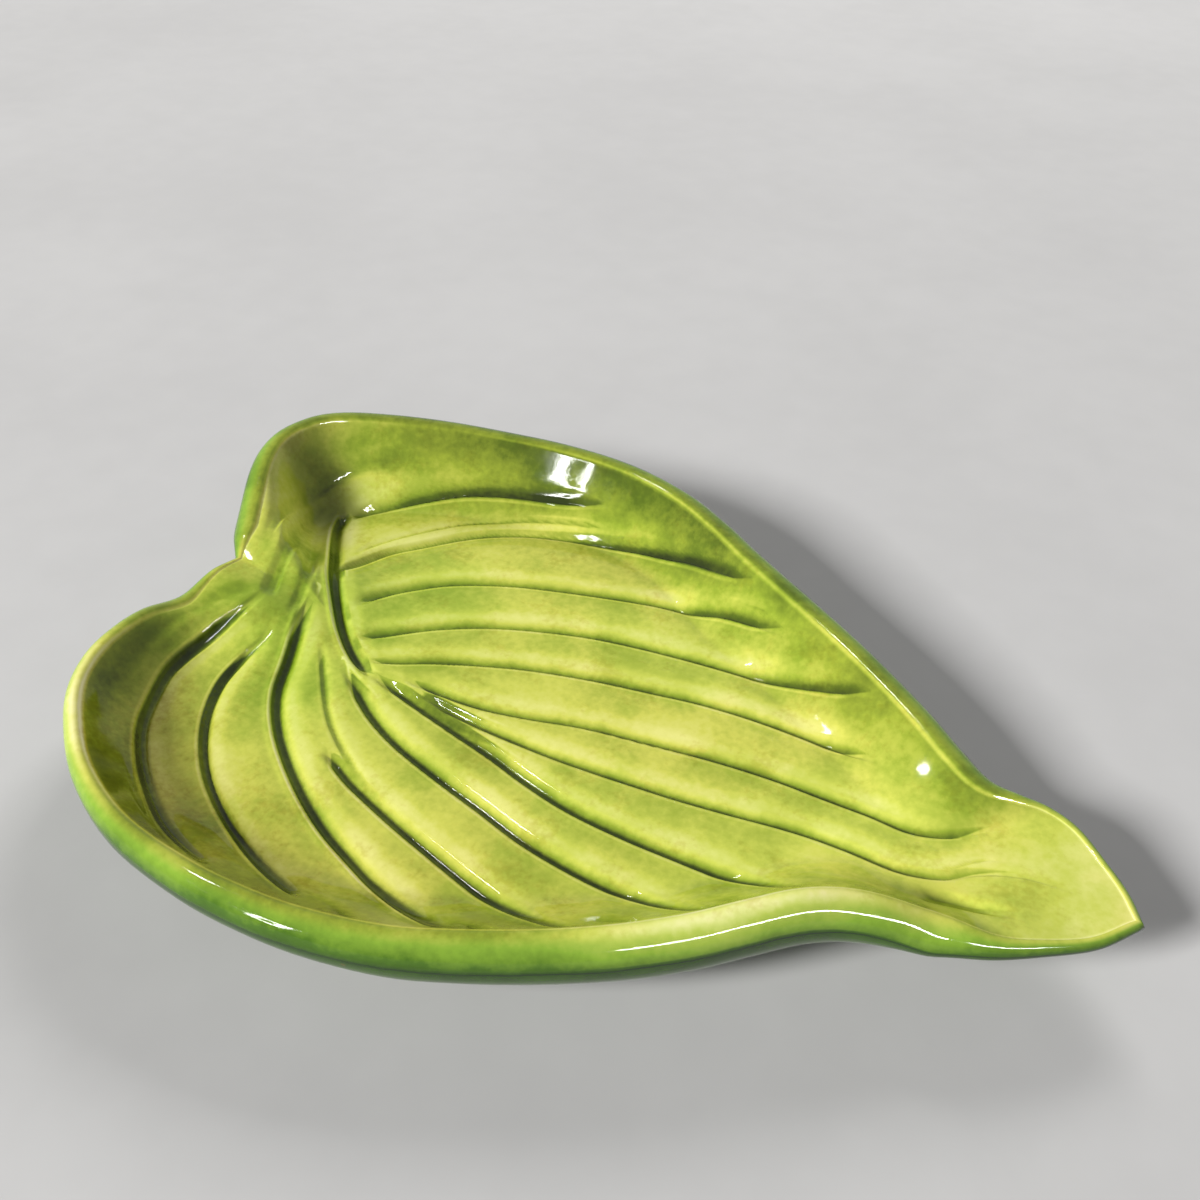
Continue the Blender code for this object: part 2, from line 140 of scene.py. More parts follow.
@dataclass(frozen=True)
class Vein:
    """One groove pressed into the floor of the leaf, with its section's sizes in millimetres.

    The points are places along its bottom: along the leaf from the stem notch, and across it. Seen
    along the way it runs, it drops from a crisp edge on its right and climbs softly on its left.
    """

    points: tuple[Point, ...]
    depth: float = 1.0
    bottom: float = 0.55
    drop_width: float = 0.35
    climb_width: float = 1.5
    skirt: float = 4.2
    lip: float = 0.10
    fade_in: float = 7.0
    fade_out: float = 4.0

    # What all the grooves share, in millimetres where it isn't a share
    POINT_SPACING = 0.7
    SOFT_DROP = 0.5
    EDGE_SKIRT = 3.4
    EDGE_SHARE = 0.2
    PILLOW_SHARE = 0.4
    POOL_SHARES = (0.6, 0.9)
    SOFT_POOL_LEAD = 0.6
    CRISP_POOL_LEAD = (1.7, 0.7)
    FAINT_POOL_SHARE = 0.4
    FULL_DEPTH = 0.9
    FULL_LIP = 0.25
    LIP_PLACE = -0.45
    LIP_WIDTH = 0.34
    LIP_START = (-2.0, 0.6)
    LIP_END = (0.4, 0.5)
    # Where the painted shade before a crisp edge starts and ends
    DUSK_RUN = 5.5
    DUSK_END = (0.2, 0.8)
    # Where the paler crest with its painted sheen lies beyond a groove's climb
    CROWN_PLACE = 0.5
    CROWN_WIDTH = 1.1
    FADED_SIDE = 1.4
    SIDE_LIMIT = 1.5

    def curve(self) -> np.ndarray:
        """The groove's middle line as closely spaced points, in metres."""
        line = spline(np.array(self.points) * MM)
        length = np.linalg.norm(np.diff(line, axis=0), axis=1).sum()
        return evenly(line, max(8, round(length / (self.POINT_SPACING * MM))))

    def edge_place(self) -> float:
        """How far the crisp edge lies from the middle line, in millimetres."""
        return 0.5 * (self.bottom + self.drop_width)

    def is_soft(self) -> bool:
        """Whether both of its flanks are gentle, so that it has no crisp edge."""
        return self.drop_width > self.SOFT_DROP

    def section(self, place: np.ndarray) -> np.ndarray:
        """How deep the groove is at each place across it: 1 along its bottom, 0 on the lamina."""
        edge_skirt = self.EDGE_SHARE * (1.0 - np.clip(-place / self.EDGE_SKIRT, 0.0, 1.0)) ** 2
        drop = self.EDGE_SHARE + (1.0 - self.EDGE_SHARE) * ease(place / self.drop_width)
        past = place - self.drop_width - self.bottom
        steep = 1.0 - ease(past / self.climb_width)
        pillow = (1.0 - np.clip(past / self.skirt, 0.0, 1.0)) ** 2
        climb = (1.0 - self.PILLOW_SHARE) * steep + self.PILLOW_SHARE * pillow
        return np.where(place < 0.0, edge_skirt, np.minimum(drop, climb))

    def pool(self, place: np.ndarray) -> np.ndarray:
        """Where glaze pools, from 0 to 1; the shader cuts it off at the crisp edge."""
        bottom, climb = self.POOL_SHARES[0] * self.bottom, self.POOL_SHARES[1] * self.climb_width
        lead, run = self.CRISP_POOL_LEAD
        if self.is_soft():
            lead, run = self.SOFT_POOL_LEAD, self.drop_width + self.SOFT_POOL_LEAD
        return ease((place + lead) / run) * (1.0 - ease((place - self.drop_width - bottom) / climb))

    def marks(self, place: np.ndarray, fade: np.ndarray) -> dict[str, np.ndarray]:
        """Works out what the groove leaves in each mask.

        Args:
            place: Millimetres into the groove from its crisp edge.
            fade: The groove's strength at that place of its length.

        Returns:
            The values by their names; a soft groove leaves its shade and nothing else.
        """
        strength = min(1.0, self.depth / self.FULL_DEPTH)
        if self.is_soft():
            return {"shade": strength * self.pool(place) * fade}
        width = self.drop_width + self.bottom + self.climb_width
        inside = np.minimum(place, width - place) - self.FADED_SIDE * (1.0 - fade)
        on_lip = fall_off(place, *self.LIP_END) * ease((place - self.LIP_START[0]) / self.LIP_START[1])
        # Painted shade on the lamina as it nears the crisp edge
        near_edge = ease((place + self.DUSK_RUN) / self.DUSK_RUN) * fall_off(place, *self.DUSK_END)
        faint = self.FAINT_POOL_SHARE
        return {
            "side": np.clip(inside, -self.SIDE_LIMIT, self.SIDE_LIMIT),
            "pool": strength * self.pool(place) * (faint + (1.0 - faint) * fade),
            "raised": bell(place, self.LIP_PLACE, self.LIP_WIDTH) * fade * self.lip * MM,
            "lip": on_lip * fade * min(1.0, self.lip / self.FULL_LIP),
            "dusk": near_edge * fade * strength,
            # Paler crest beyond the climb: partly thin glaze, partly painted sheen
            "crown": bell(place, width + self.CROWN_PLACE, self.CROWN_WIDTH) * fade * strength,
        }


VEINS: dict[str, Vein] = {
    "midrib_crease": Vein(
        ((1.8, 22.6), (2.9, 18.5), (5, 15), (8.4, 10.6), (11.5, 6.7), (15.4, 2.4), (19.9, -2), (24.8, -5.4),
         (30, -7.6)),
        depth=1.2, bottom=0.4, climb_width=1.6, lip=0.3, fade_in=3.0, fade_out=6.0,
    ),
    "near_1": Vein(
        ((7.6, -1.1), (7.3, -6), (5.6, -11.6), (4.6, -17), (5.2, -21.7), (8.6, -28.4), (13.6, -33.7),
         (19.6, -38), (25.5, -41.2), (31.5, -43.2), (35, -44)),
        depth=1.05, bottom=0.5, drop_width=0.45, climb_width=0.55, skirt=2.0, lip=0.12, fade_in=11.0,
        fade_out=2.5,
    ),
    "near_2": Vein(
        ((11.1, -5.7), (11.9, -8.8), (11.2, -12.5), (11.7, -17.8), (14.8, -24), (19.8, -29.6),
         (25.6, -33.7), (33.6, -37.6), (40.5, -40.2), (46, -41.8)),
        depth=1.05, bottom=0.5, drop_width=0.45, climb_width=0.7, skirt=2.6, lip=0.12, fade_in=10.0,
        fade_out=3.0,
    ),
    "near_3": Vein(
        ((12, 2.4), (14, -3.2), (16.5, -9.2), (19.5, -15.6), (24.4, -21.1), (31.5, -26.4), (38.8, -30.5),
         (46, -33.3), (54, -36), (59.5, -37.6), (65, -39)),
        depth=1.05, bottom=0.5, lip=0.34, fade_in=11.0, fade_out=3.0,
    ),
    "near_4": Vein(
        ((31.4, -20.5), (34.6, -22.1), (38.4, -23.7), (46, -26), (52.6, -27.7), (60.5, -29.6),
         (68.5, -31.2), (74, -32.2), (80, -33)),
        depth=1.05, bottom=0.5, lip=0.14, fade_in=4.0, fade_out=2.0,
    ),
    "near_4_thread": Vein(
        ((18.1, -4.3), (22.4, -9.4), (27, -14.4), (31, -17.8), (36.9, -21.4), (42, -23.6)),
        depth=0.4, bottom=0.2, drop_width=0.4, climb_width=0.7, skirt=1.6, lip=0.03, fade_in=6.0,
        fade_out=5.0,
    ),
    "near_5": Vein(
        ((23.6, -6.6), (27.1, -9.2), (33, -12.9), (39.4, -15.6), (47.2, -17.7), (54.3, -19.3), (62, -21.1),
         (70, -22), (78, -22.2), (85, -23.2), (91, -23.6)),
        bottom=0.5, lip=0.12, fade_in=8.0, fade_out=3.0,
    ),
    "near_6": Vein(
        ((27, -6.3), (34.9, -8), (44.2, -10), (50.9, -11.4), (57.4, -13), (64.2, -14.2), (72, -14.6),
         (80, -14.4), (88, -14.4), (95, -16)),
        depth=0.9, lip=0.1, fade_in=8.0, fade_out=6.0,
    ),
    "near_7": Vein(
        ((33, -5.8), (43, -7.5), (54.7, -7.8), (63.6, -7.3), (72.5, -6.5), (80.5, -5.4), (89.3, -4),
         (96, -4.1), (101.8, -4.8), (106.4, -3.9), (110.2, -1.5), (115, 0.2), (122, 0.8)),
        depth=0.75, bottom=0.35, climb_width=1.2, lip=0.06, fade_in=8.0, fade_out=22.0,
    ),
    "midrib": Vein(
        ((31, -5.2), (37, -5.2), (44.5, -4.8), (51, -3.4), (58.5, -1.3), (67.5, 0.4), (76, 1.7), (86, 2.5),
         (95.4, 2.2), (101.1, 1.5), (105.5, 2.4), (109.4, 5), (114.3, 8.2)),
        depth=0.75, bottom=0.35, climb_width=1.2, lip=0.06, fade_in=8.0, fade_out=14.0,
    ),
    "far_7": Vein(
        ((24.9, -5.3), (29.3, -3.3), (36.4, 0.5), (45.6, 4.4), (55.1, 7.1), (64, 8.9), (71, 10.2),
         (79, 10.9), (88, 10.7), (96, 9.6)),
        depth=0.8, bottom=0.5, climb_width=1.2, fade_in=6.0, fade_out=9.0,
    ),
    "far_6": Vein(
        ((21.6, -2.9), (25.9, 1.4), (31.3, 6), (38.6, 10.2), (48, 13.8), (57, 15.9), (66, 17.2), (76, 17.9),
         (87, 17.6), (93, 16.4)),
        depth=0.85, bottom=0.6, climb_width=1.2, fade_in=6.0, fade_out=8.0,
    ),
    "far_5": Vein(
        ((18.1, 2.1), (20.4, 7.8), (23.6, 11.8), (28, 15.4), (35, 19), (43.4, 21.8), (51, 24), (58, 25.6),
         (65, 25.9), (72, 24.7), (78, 23)),
        depth=0.85, bottom=0.6, climb_width=1.2, fade_in=6.0, fade_out=8.0,
    ),
    "far_4": Vein(
        ((11, 7), (12.3, 10), (14.4, 16), (18, 20.4), (23.2, 25.9), (28.6, 29.6), (34, 31.9), (41, 33.6),
         (48.6, 34.1), (56, 33.2), (62, 31.6), (68.5, 29.4), (72, 28)),
        depth=1.0, bottom=0.8, climb_width=0.8, skirt=2.6, fade_in=3.0, fade_out=9.0,
    ),
    "far_3_thread": Vein(
        ((10.4, 11.2), (11.4, 16), (14, 20.6), (19.1, 26.6), (23.6, 30), (29.6, 33.1), (37.5, 35.2),
         (47, 36)),
        depth=0.3, bottom=0.15, drop_width=0.2, climb_width=0.3, skirt=0.8, lip=0.03, fade_in=5.0,
        fade_out=9.0,
    ),
    "far_2": Vein(
        ((3.5, 20), (6.1, 24.2), (10.8, 28.4), (16.4, 32), (22, 34.3), (29, 36.3), (36, 37.6), (44.5, 38)),
        depth=1.0, bottom=0.8, climb_width=1.0, skirt=2.6, fade_in=4.0, fade_out=12.0,
    ),
    "far_1": Vein(
        ((2.6, 4.4), (-0.2, 11), (-1.8, 17), (-1.4, 22.4), (1.1, 26.8), (5.1, 29.8), (10.2, 32.2)),
        depth=0.9, bottom=0.8, drop_width=0.6, climb_width=1.4, skirt=3.0, fade_in=4.0,
        fade_out=6.0,
    ),
    "stem_left": Vein(
        ((9.3, -3.6), (7.4, 0), (5.8, 5.2), (1.8, 12.3), (-0.2, 17.8), (-0.5, 21.4)),
        depth=0.75, bottom=0.7, drop_width=1.0, climb_width=1.2, skirt=2.2, fade_in=3.0,
        fade_out=3.0,
    ),
    "stem_shade": Vein(
        ((4.6, 12.2), (6.6, 8), (8.9, 4.6), (11.4, -1), (12.6, -4.8)),
        depth=0.4, bottom=0.5, drop_width=0.9, climb_width=1.0, skirt=1.8, fade_in=5.0,
        fade_out=4.0,
    ),
    "wall_base": Vein(
        ((7, 34.6), (1.6, 31), (-2, 27), (-4, 21.6), (-3.8, 16.4), (-2, 10.6), (0.4, 5.8), (3.2, 2.2)),
        depth=0.45, bottom=1.3, drop_width=1.6, climb_width=1.6, skirt=3.0, fade_in=9.0,
        fade_out=4.0,
    ),
    "near_wall_base": Vein(
        ((6.6, -1.4), (3.4, -6.2), (0.6, -12), (0.2, -18), (1.2, -23.6), (3.6, -29.4), (8, -35)),
        depth=0.4, bottom=0.9, drop_width=1.2, climb_width=1.4, skirt=2.2, fade_in=4.0,
        fade_out=9.0,
    ),
    "pocket_shade": Vein(
        ((104, -7.6), (107, -7.2), (110, -6.8), (113, -6.3), (116, -5.8)),
        depth=1.3, bottom=0.6, drop_width=0.8, climb_width=1.0, skirt=1.6, fade_in=3.0,
        fade_out=6.0,
    ),
    "tip_thread": Vein(
        ((104.4, -3.3), (107.1, -2), (109.6, 0.2), (113, 2)),
        depth=0.22, bottom=0.12, drop_width=0.2, climb_width=0.35, skirt=0.8, lip=0.03, fade_in=3.0,
        fade_out=4.0,
    ),
}


@dataclass(frozen=True)
class Patch:
    """An oval place on the leaf, in millimetres from the stem notch, that fades softly away."""

    middle: Point
    reach: Point

    def strength(self, x: np.ndarray, y: np.ndarray) -> np.ndarray:
        """1 in its middle, 0.37 at its reach and 0 far away, for places in metres."""
        along = (x / MM - self.middle[0]) / self.reach[0]
        across = (y / MM - self.middle[1]) / self.reach[1]
        return bell(np.hypot(along, across), 0.0, 1.0)


@dataclass(frozen=True)
class LeafShape:
    """Sizes of the ceramic leaf, in metres: its outline, heights, rim section and floor."""

    length: float = 127.4 * MM
    half_width: float = 46.8 * MM
    seat_height: float = 1.8 * MM
    floor_height: float = 7.0 * MM
    wall_height: float = 12.2 * MM
    tip_floor_rise: float = 2.6 * MM
    tip_underside_rise: float = 5.0 * MM
    lobe_edge_lift: float = 2.6 * MM
    lobe_lift_run: float = 9.0 * MM
    stem_mound_height: float = 4.6 * MM
    stem_mound_length: float = 26.0 * MM
    stem_mound_half_width: float = 7.5 * MM
    stem_ridge_half_width: float = 3.0 * MM
    pocket: Patch = Patch((104.468, -8.424), (5.0, 3.0))
    pocket_depth: float = 1.3 * MM
    wall_belly: float = 0.95 * MM
    wall_tuck: float = 7.0 * MM
    shoulder_width: float = 3.0 * MM
    shoulder_drop: float = 2.6 * MM
    lip_width: float = 0.9 * MM
    lip_drop: float = 0.55 * MM
    full_rim_wall: float = 3.0 * MM
    slim_shoulder: Patch = Patch((6.37, -39.78), (38.22, 25.74))
    wall_run: float = 8.8 * MM
    free_edge: float = 2.0 * MM
    wall_power: float = 1.6
    stem_run: float = 12.0 * MM
    swell_height: float = 0.12 * MM
    swell_size: float = 11.0 * MM
    swell_start: float = 0.3 * MM
    swell_wall_place: float = 8.5 * MM
    swell_wall_run: float = 3.0 * MM
    side_steps: int = 300
    underside_rings: int = 6
    outer_rings: int = 9
    shoulder_rings: int = 14
    lip_rings: int = 4
    inner_rings: int = 130

    # Outline from the stem notch to the tip: share of the length, of the half width and of the wall
    TALL_SIDE_SHARES = (
        (0.000, 0.000, 0.02), (-0.030, 0.120, 0.30), (-0.060, 0.290, 0.80), (-0.072, 0.430, 0.96),
        (-0.060, 0.560, 1.00), (-0.033, 0.660, 0.98), (0.020, 0.750, 0.93), (0.090, 0.835, 0.86),
        (0.165, 0.895, 0.80), (0.230, 0.932, 0.77), (0.295, 0.948, 0.74), (0.355, 0.935, 0.72),
        (0.420, 0.890, 0.69), (0.480, 0.812, 0.66), (0.532, 0.730, 0.63), (0.647, 0.565, 0.56),
        (0.713, 0.465, 0.50), (0.768, 0.370, 0.41), (0.812, 0.287, 0.29), (0.845, 0.238, 0.18),
        (0.873, 0.238, 0.10), (0.900, 0.240, 0.05), (0.930, 0.210, 0.03), (0.960, 0.140, 0.01),
        (0.983, 0.075, 0.00), (1.000, 0.000, 0.00),
    )
    LOW_SIDE_SHARES = (
        (0.000, 0.000, 0.02), (-0.010, -0.180, 0.16), (-0.022, -0.335, 0.44), (-0.019, -0.500, 0.52),
        (0.002, -0.640, 0.55), (0.038, -0.755, 0.56), (0.098, -0.880, 0.53), (0.173, -0.965, 0.50),
        (0.260, -1.000, 0.49), (0.330, -0.998, 0.47), (0.390, -0.975, 0.45), (0.456, -0.925, 0.43),
        (0.510, -0.860, 0.43), (0.575, -0.767, 0.44), (0.630, -0.675, 0.47), (0.677, -0.580, 0.50),
        (0.713, -0.495, 0.54), (0.748, -0.410, 0.54), (0.780, -0.350, 0.46), (0.820, -0.305, 0.34),
        (0.858, -0.270, 0.19), (0.898, -0.237, 0.09), (0.934, -0.178, 0.04), (0.972, -0.098, 0.00),
        (1.000, 0.000, 0.00),
    )
    # Shares of the length between which something starts or ends
    TIP_FLOOR_SHARES = (0.69, 0.92)
    TIP_UNDERSIDE_SHARES = (0.66, 1.0)
    LOBE_LIFT_SHARES = (0.26, 0.54)
    HUB_SHARES = (0.11, 0.925)

    # Other shares, and how fast the rings and the wall fall
    THIN_RIM_SHARE = 0.3
    SLIM_RIM_SHARE = 0.42
    LONGEST_TUCK_SHARE = 0.6
    WALL_LOSS_SHARE = 0.7
    FREE_HUB_SHARE = 0.04
    CALM_WALL_SHARE = 0.75
    TUCK_POWER = 2.8
    UNDERSIDE_POWER = 0.7
    INNER_POWER = 1.15

    def rim(self) -> tuple[np.ndarray, np.ndarray]:
        """The outline's plan points all the way round, and the wall's height at each."""
        size = (self.length, self.half_width, self.wall_height)
        out = evenly(spline(np.array(self.TALL_SIDE_SHARES) * size), self.side_steps)
        back = evenly(spline(np.array(self.LOW_SIDE_SHARES[::-1]) * size), self.side_steps)
        outline = np.vstack([out[:-1], back[:-1]])
        return outline[:, :2], np.maximum(outline[:, 2], 0.0)

    def outward(self, outline: np.ndarray) -> np.ndarray:
        """Level directions that point out of the outline, softened at its corners."""
        along = np.roll(outline, -1, axis=0) - np.roll(outline, 1, axis=0)
        normals = np.stack([-along[:, 1], along[:, 0]], axis=1)
        normals /= np.linalg.norm(normals, axis=1)[:, None]
        # With finer steps it takes more rounds, as their square, to soften the same length
        for _ in range(round(2 * (self.side_steps / 60) ** 2)):
            normals = np.roll(normals, 1, axis=0) + 2 * normals + np.roll(normals, -1, axis=0)
            normals /= np.linalg.norm(normals, axis=1)[:, None]
        return normals

    def rise(self, x: np.ndarray, shares: tuple[float, float]) -> np.ndarray:
        """0 before the first share of the leaf's length, 1 past the second, and smooth between."""
        start, end = shares
        return ease((x / self.length - start) / (end - start))

    def underside(self, x: np.ndarray) -> np.ndarray:
        """Height of the underside: a flat seat, which climbs towards the tip."""
        return self.seat_height + self.tip_underside_rise * self.rise(x, self.TIP_UNDERSIDE_SHARES)

    def lobe_lift(self, x: np.ndarray) -> np.ndarray:
        """How far the outer edge of the underside is bent up, most at the lobes."""
        return self.lobe_edge_lift * (1.0 - self.rise(x, self.LOBE_LIFT_SHARES))

    def floor(self, x: np.ndarray, y: np.ndarray) -> np.ndarray:
        """Height of the dish's floor without its grooves."""
        tip = self.tip_floor_rise * self.rise(x, self.TIP_FLOOR_SHARES)
        off_ridge = np.maximum(np.abs(y) - self.stem_ridge_half_width, 0.0) / self.stem_mound_half_width
        mound = self.stem_mound_height * (1.0 - ease(x / self.stem_mound_length)) * bell(off_ridge, 0.0, 1.0)
        return self.floor_height + tip + mound - self.pocket_depth * self.pocket.strength(x, y)


@dataclass(frozen=True)
class Crossing:
    """How some of the places on the floor lie to one vein."""

    near: np.ndarray
    side: np.ndarray
    across: np.ndarray
    fade: np.ndarray


def cross(vein: Vein, x: np.ndarray, y: np.ndarray) -> Crossing:
    """Finds the places near a vein, and how they lie to its crisp edge.

    Args:
        vein: The groove.
        x: Places along the leaf, in metres from the stem notch.
        y: Places across it.

    Returns:
        The indices of the near places, their millimetres into the groove from its crisp edge, the
        direction into the groove there, and the groove's strength at that place of its length.
    """
    curve = vein.curve()
    reach = GROOVE_REACH * MM
    low, high = curve.min(axis=0) - reach, curve.max(axis=0) + reach
    near = np.flatnonzero((x > low[0]) & (x < high[0]) & (y > low[1]) & (y < high[1]))
    starts, steps = curve[:-1], np.diff(curve, axis=0)
    from_start = np.stack([x[near], y[near]], axis=-1)[:, None, :] - starts
    share = np.clip((from_start * steps).sum(axis=2) / (steps**2).sum(axis=1), 0.0, 1.0)
    away = from_start - share[:, :, None] * steps
    distance = np.linalg.norm(away, axis=2)
    nearest = distance.argmin(axis=1)
    rows = np.arange(len(near))
    way, step = away[rows, nearest], steps[nearest]
    turn = step[:, 0] * way[:, 1] - step[:, 1] * way[:, 0]
    side = distance[rows, nearest] * np.where(turn < 0.0, -1.0, 1.0) / MM
    across = np.stack([-step[:, 1], step[:, 0]], axis=1)
    across /= np.linalg.norm(across, axis=1)[:, None]
    length = np.linalg.norm(steps, axis=1).sum()
    along = (nearest + share[rows, nearest]) / len(steps) * length
    fade = ease(along / (vein.fade_in * MM)) * ease((length - along) / (vein.fade_out * MM))
    return Crossing(near, side + vein.edge_place(), across, fade)


def gather(plan: np.ndarray) -> np.ndarray:
    """Draws the points towards the crisp edges near them, so that the edges come out sharp."""
    closest, second = np.full((2, len(plan)), NO_GROOVE)
    shift = np.zeros_like(plan)
    for vein in VEINS.values():
        if vein.is_soft():
            continue
        found = cross(vein, *plan.T)
        distance = np.abs(found.side) + FADED_DISTANCE * (1.0 - found.fade)
        before = closest[found.near]
        nearer = distance < before
        second[found.near] = np.where(nearer, before, np.minimum(second[found.near], distance))
        closest[found.near] = np.where(nearer, distance, before)
        pull = -PULL_SHARE * found.side * bell(found.side, 0.0, PULL_WIDTH) * found.fade * MM
        moved = found.across * pull[:, None]
        shift[found.near] = np.where(nearer[:, None], moved, shift[found.near])
    alone = ease((second - closest) / NEXT_GROOVE)
    return plan + shift * alone[:, None]


def press(x: np.ndarray, y: np.ndarray) -> dict[str, np.ndarray]:
    """Presses all the veins into the floor at once.

    Args:
        x: Places along the leaf, in metres from the stem notch.
        y: Places across it.

    Returns:
        The grooves' depth and their lips' height in metres, and the masks by their names.
    """
    total = np.zeros_like(x)
    marks = {name: np.zeros_like(x) for name in ("pool", "shade", "lip", "raised", "crown", "dusk")}
    marks["side"] = np.full_like(x, -Vein.SIDE_LIMIT)
    for vein in VEINS.values():
        found = cross(vein, x, y)
        total[found.near] += (vein.depth * vein.section(found.side) * found.fade) ** BLEND_POWER
        for name, value in vein.marks(found.side, found.fade).items():
            marks[name][found.near] = np.maximum(marks[name][found.near], value)
    depth = total ** (1.0 / BLEND_POWER)
    clear = 1.0 - ease(depth / CLEAR_DEPTH)
    marks["raised"] *= clear
    marks["crown"] *= clear
    return {"depth": depth * MM, **marks}


@dataclass(frozen=True)
class GlazeFlow:
    """Where the glaze has run thick or thin over the leaf, where an olive tint lies, where shade and light
    are painted into it, and how much.

    Places and runs are in metres. A pair of shares says between which parts of the leaf's length
    something starts or ends. The rest say how strong each thing is.
    """

    side_run: float = 20.0 * MM
    low_side_run: float = 14.0 * MM
    wall_start: float = 2.0 * MM
    edge_run: float = 1.6 * MM
    stem_clear: float = 10.0 * MM
    stem_fade: float = 24.0 * MM
    # How far in from the rim the olive tint and its painted shade reach
    haze_run: float = 23.0 * MM
    thin_shoulder: Patch = Patch((1.274, -36.504), (21.658, 15.912))
    thin_wave: Patch = Patch((91.728, -23.4), (22.932, 18.72))
    green_heart: Patch = Patch((19.0, -3.0), (29.302, 25.48))
    # Corner of the tall lobe by the notch, lightened as painted light
    pale_corner: Patch = Patch((-3.0, 18.0), (10.0, 10.0))
    low_end_shares: tuple[float, float] = (0.4845, 0.72)
    lobe_shares: tuple[float, float] = (0.18, 0.40)
    far_start_shares: tuple[float, float] = (0.02, 0.22)
    far_end_shares: tuple[float, float] = (0.36, 0.56)
    tip_shares: tuple[float, float] = (0.87, 0.95)
    lobe_top_place: float = 15.288 * MM
    lobe_top_width: float = 25.48 * MM
    lobe_top_start: float = 14.04 * MM
    lobe_top_run: float = 18.72 * MM
    thin_everywhere: float = 0.45
    thin_patches: float = 0.55
    thick_lobe_top: float = 0.35
    tall_rim_shade: float = 0.5
    climb_power: float = 0.8
    low_wall_shade: float = 0.4
    far_wall_shade: float = 0.9
    far_floor_shade: float = 0.4
    far_end_loss: float = 0.75
    stem_loss: float = 0.75
    corner_loss: float = 1.2
    lobe_end_loss: float = 0.6
    wall_pool_loss: float = 0.4
    tip_crown: float = 0.6


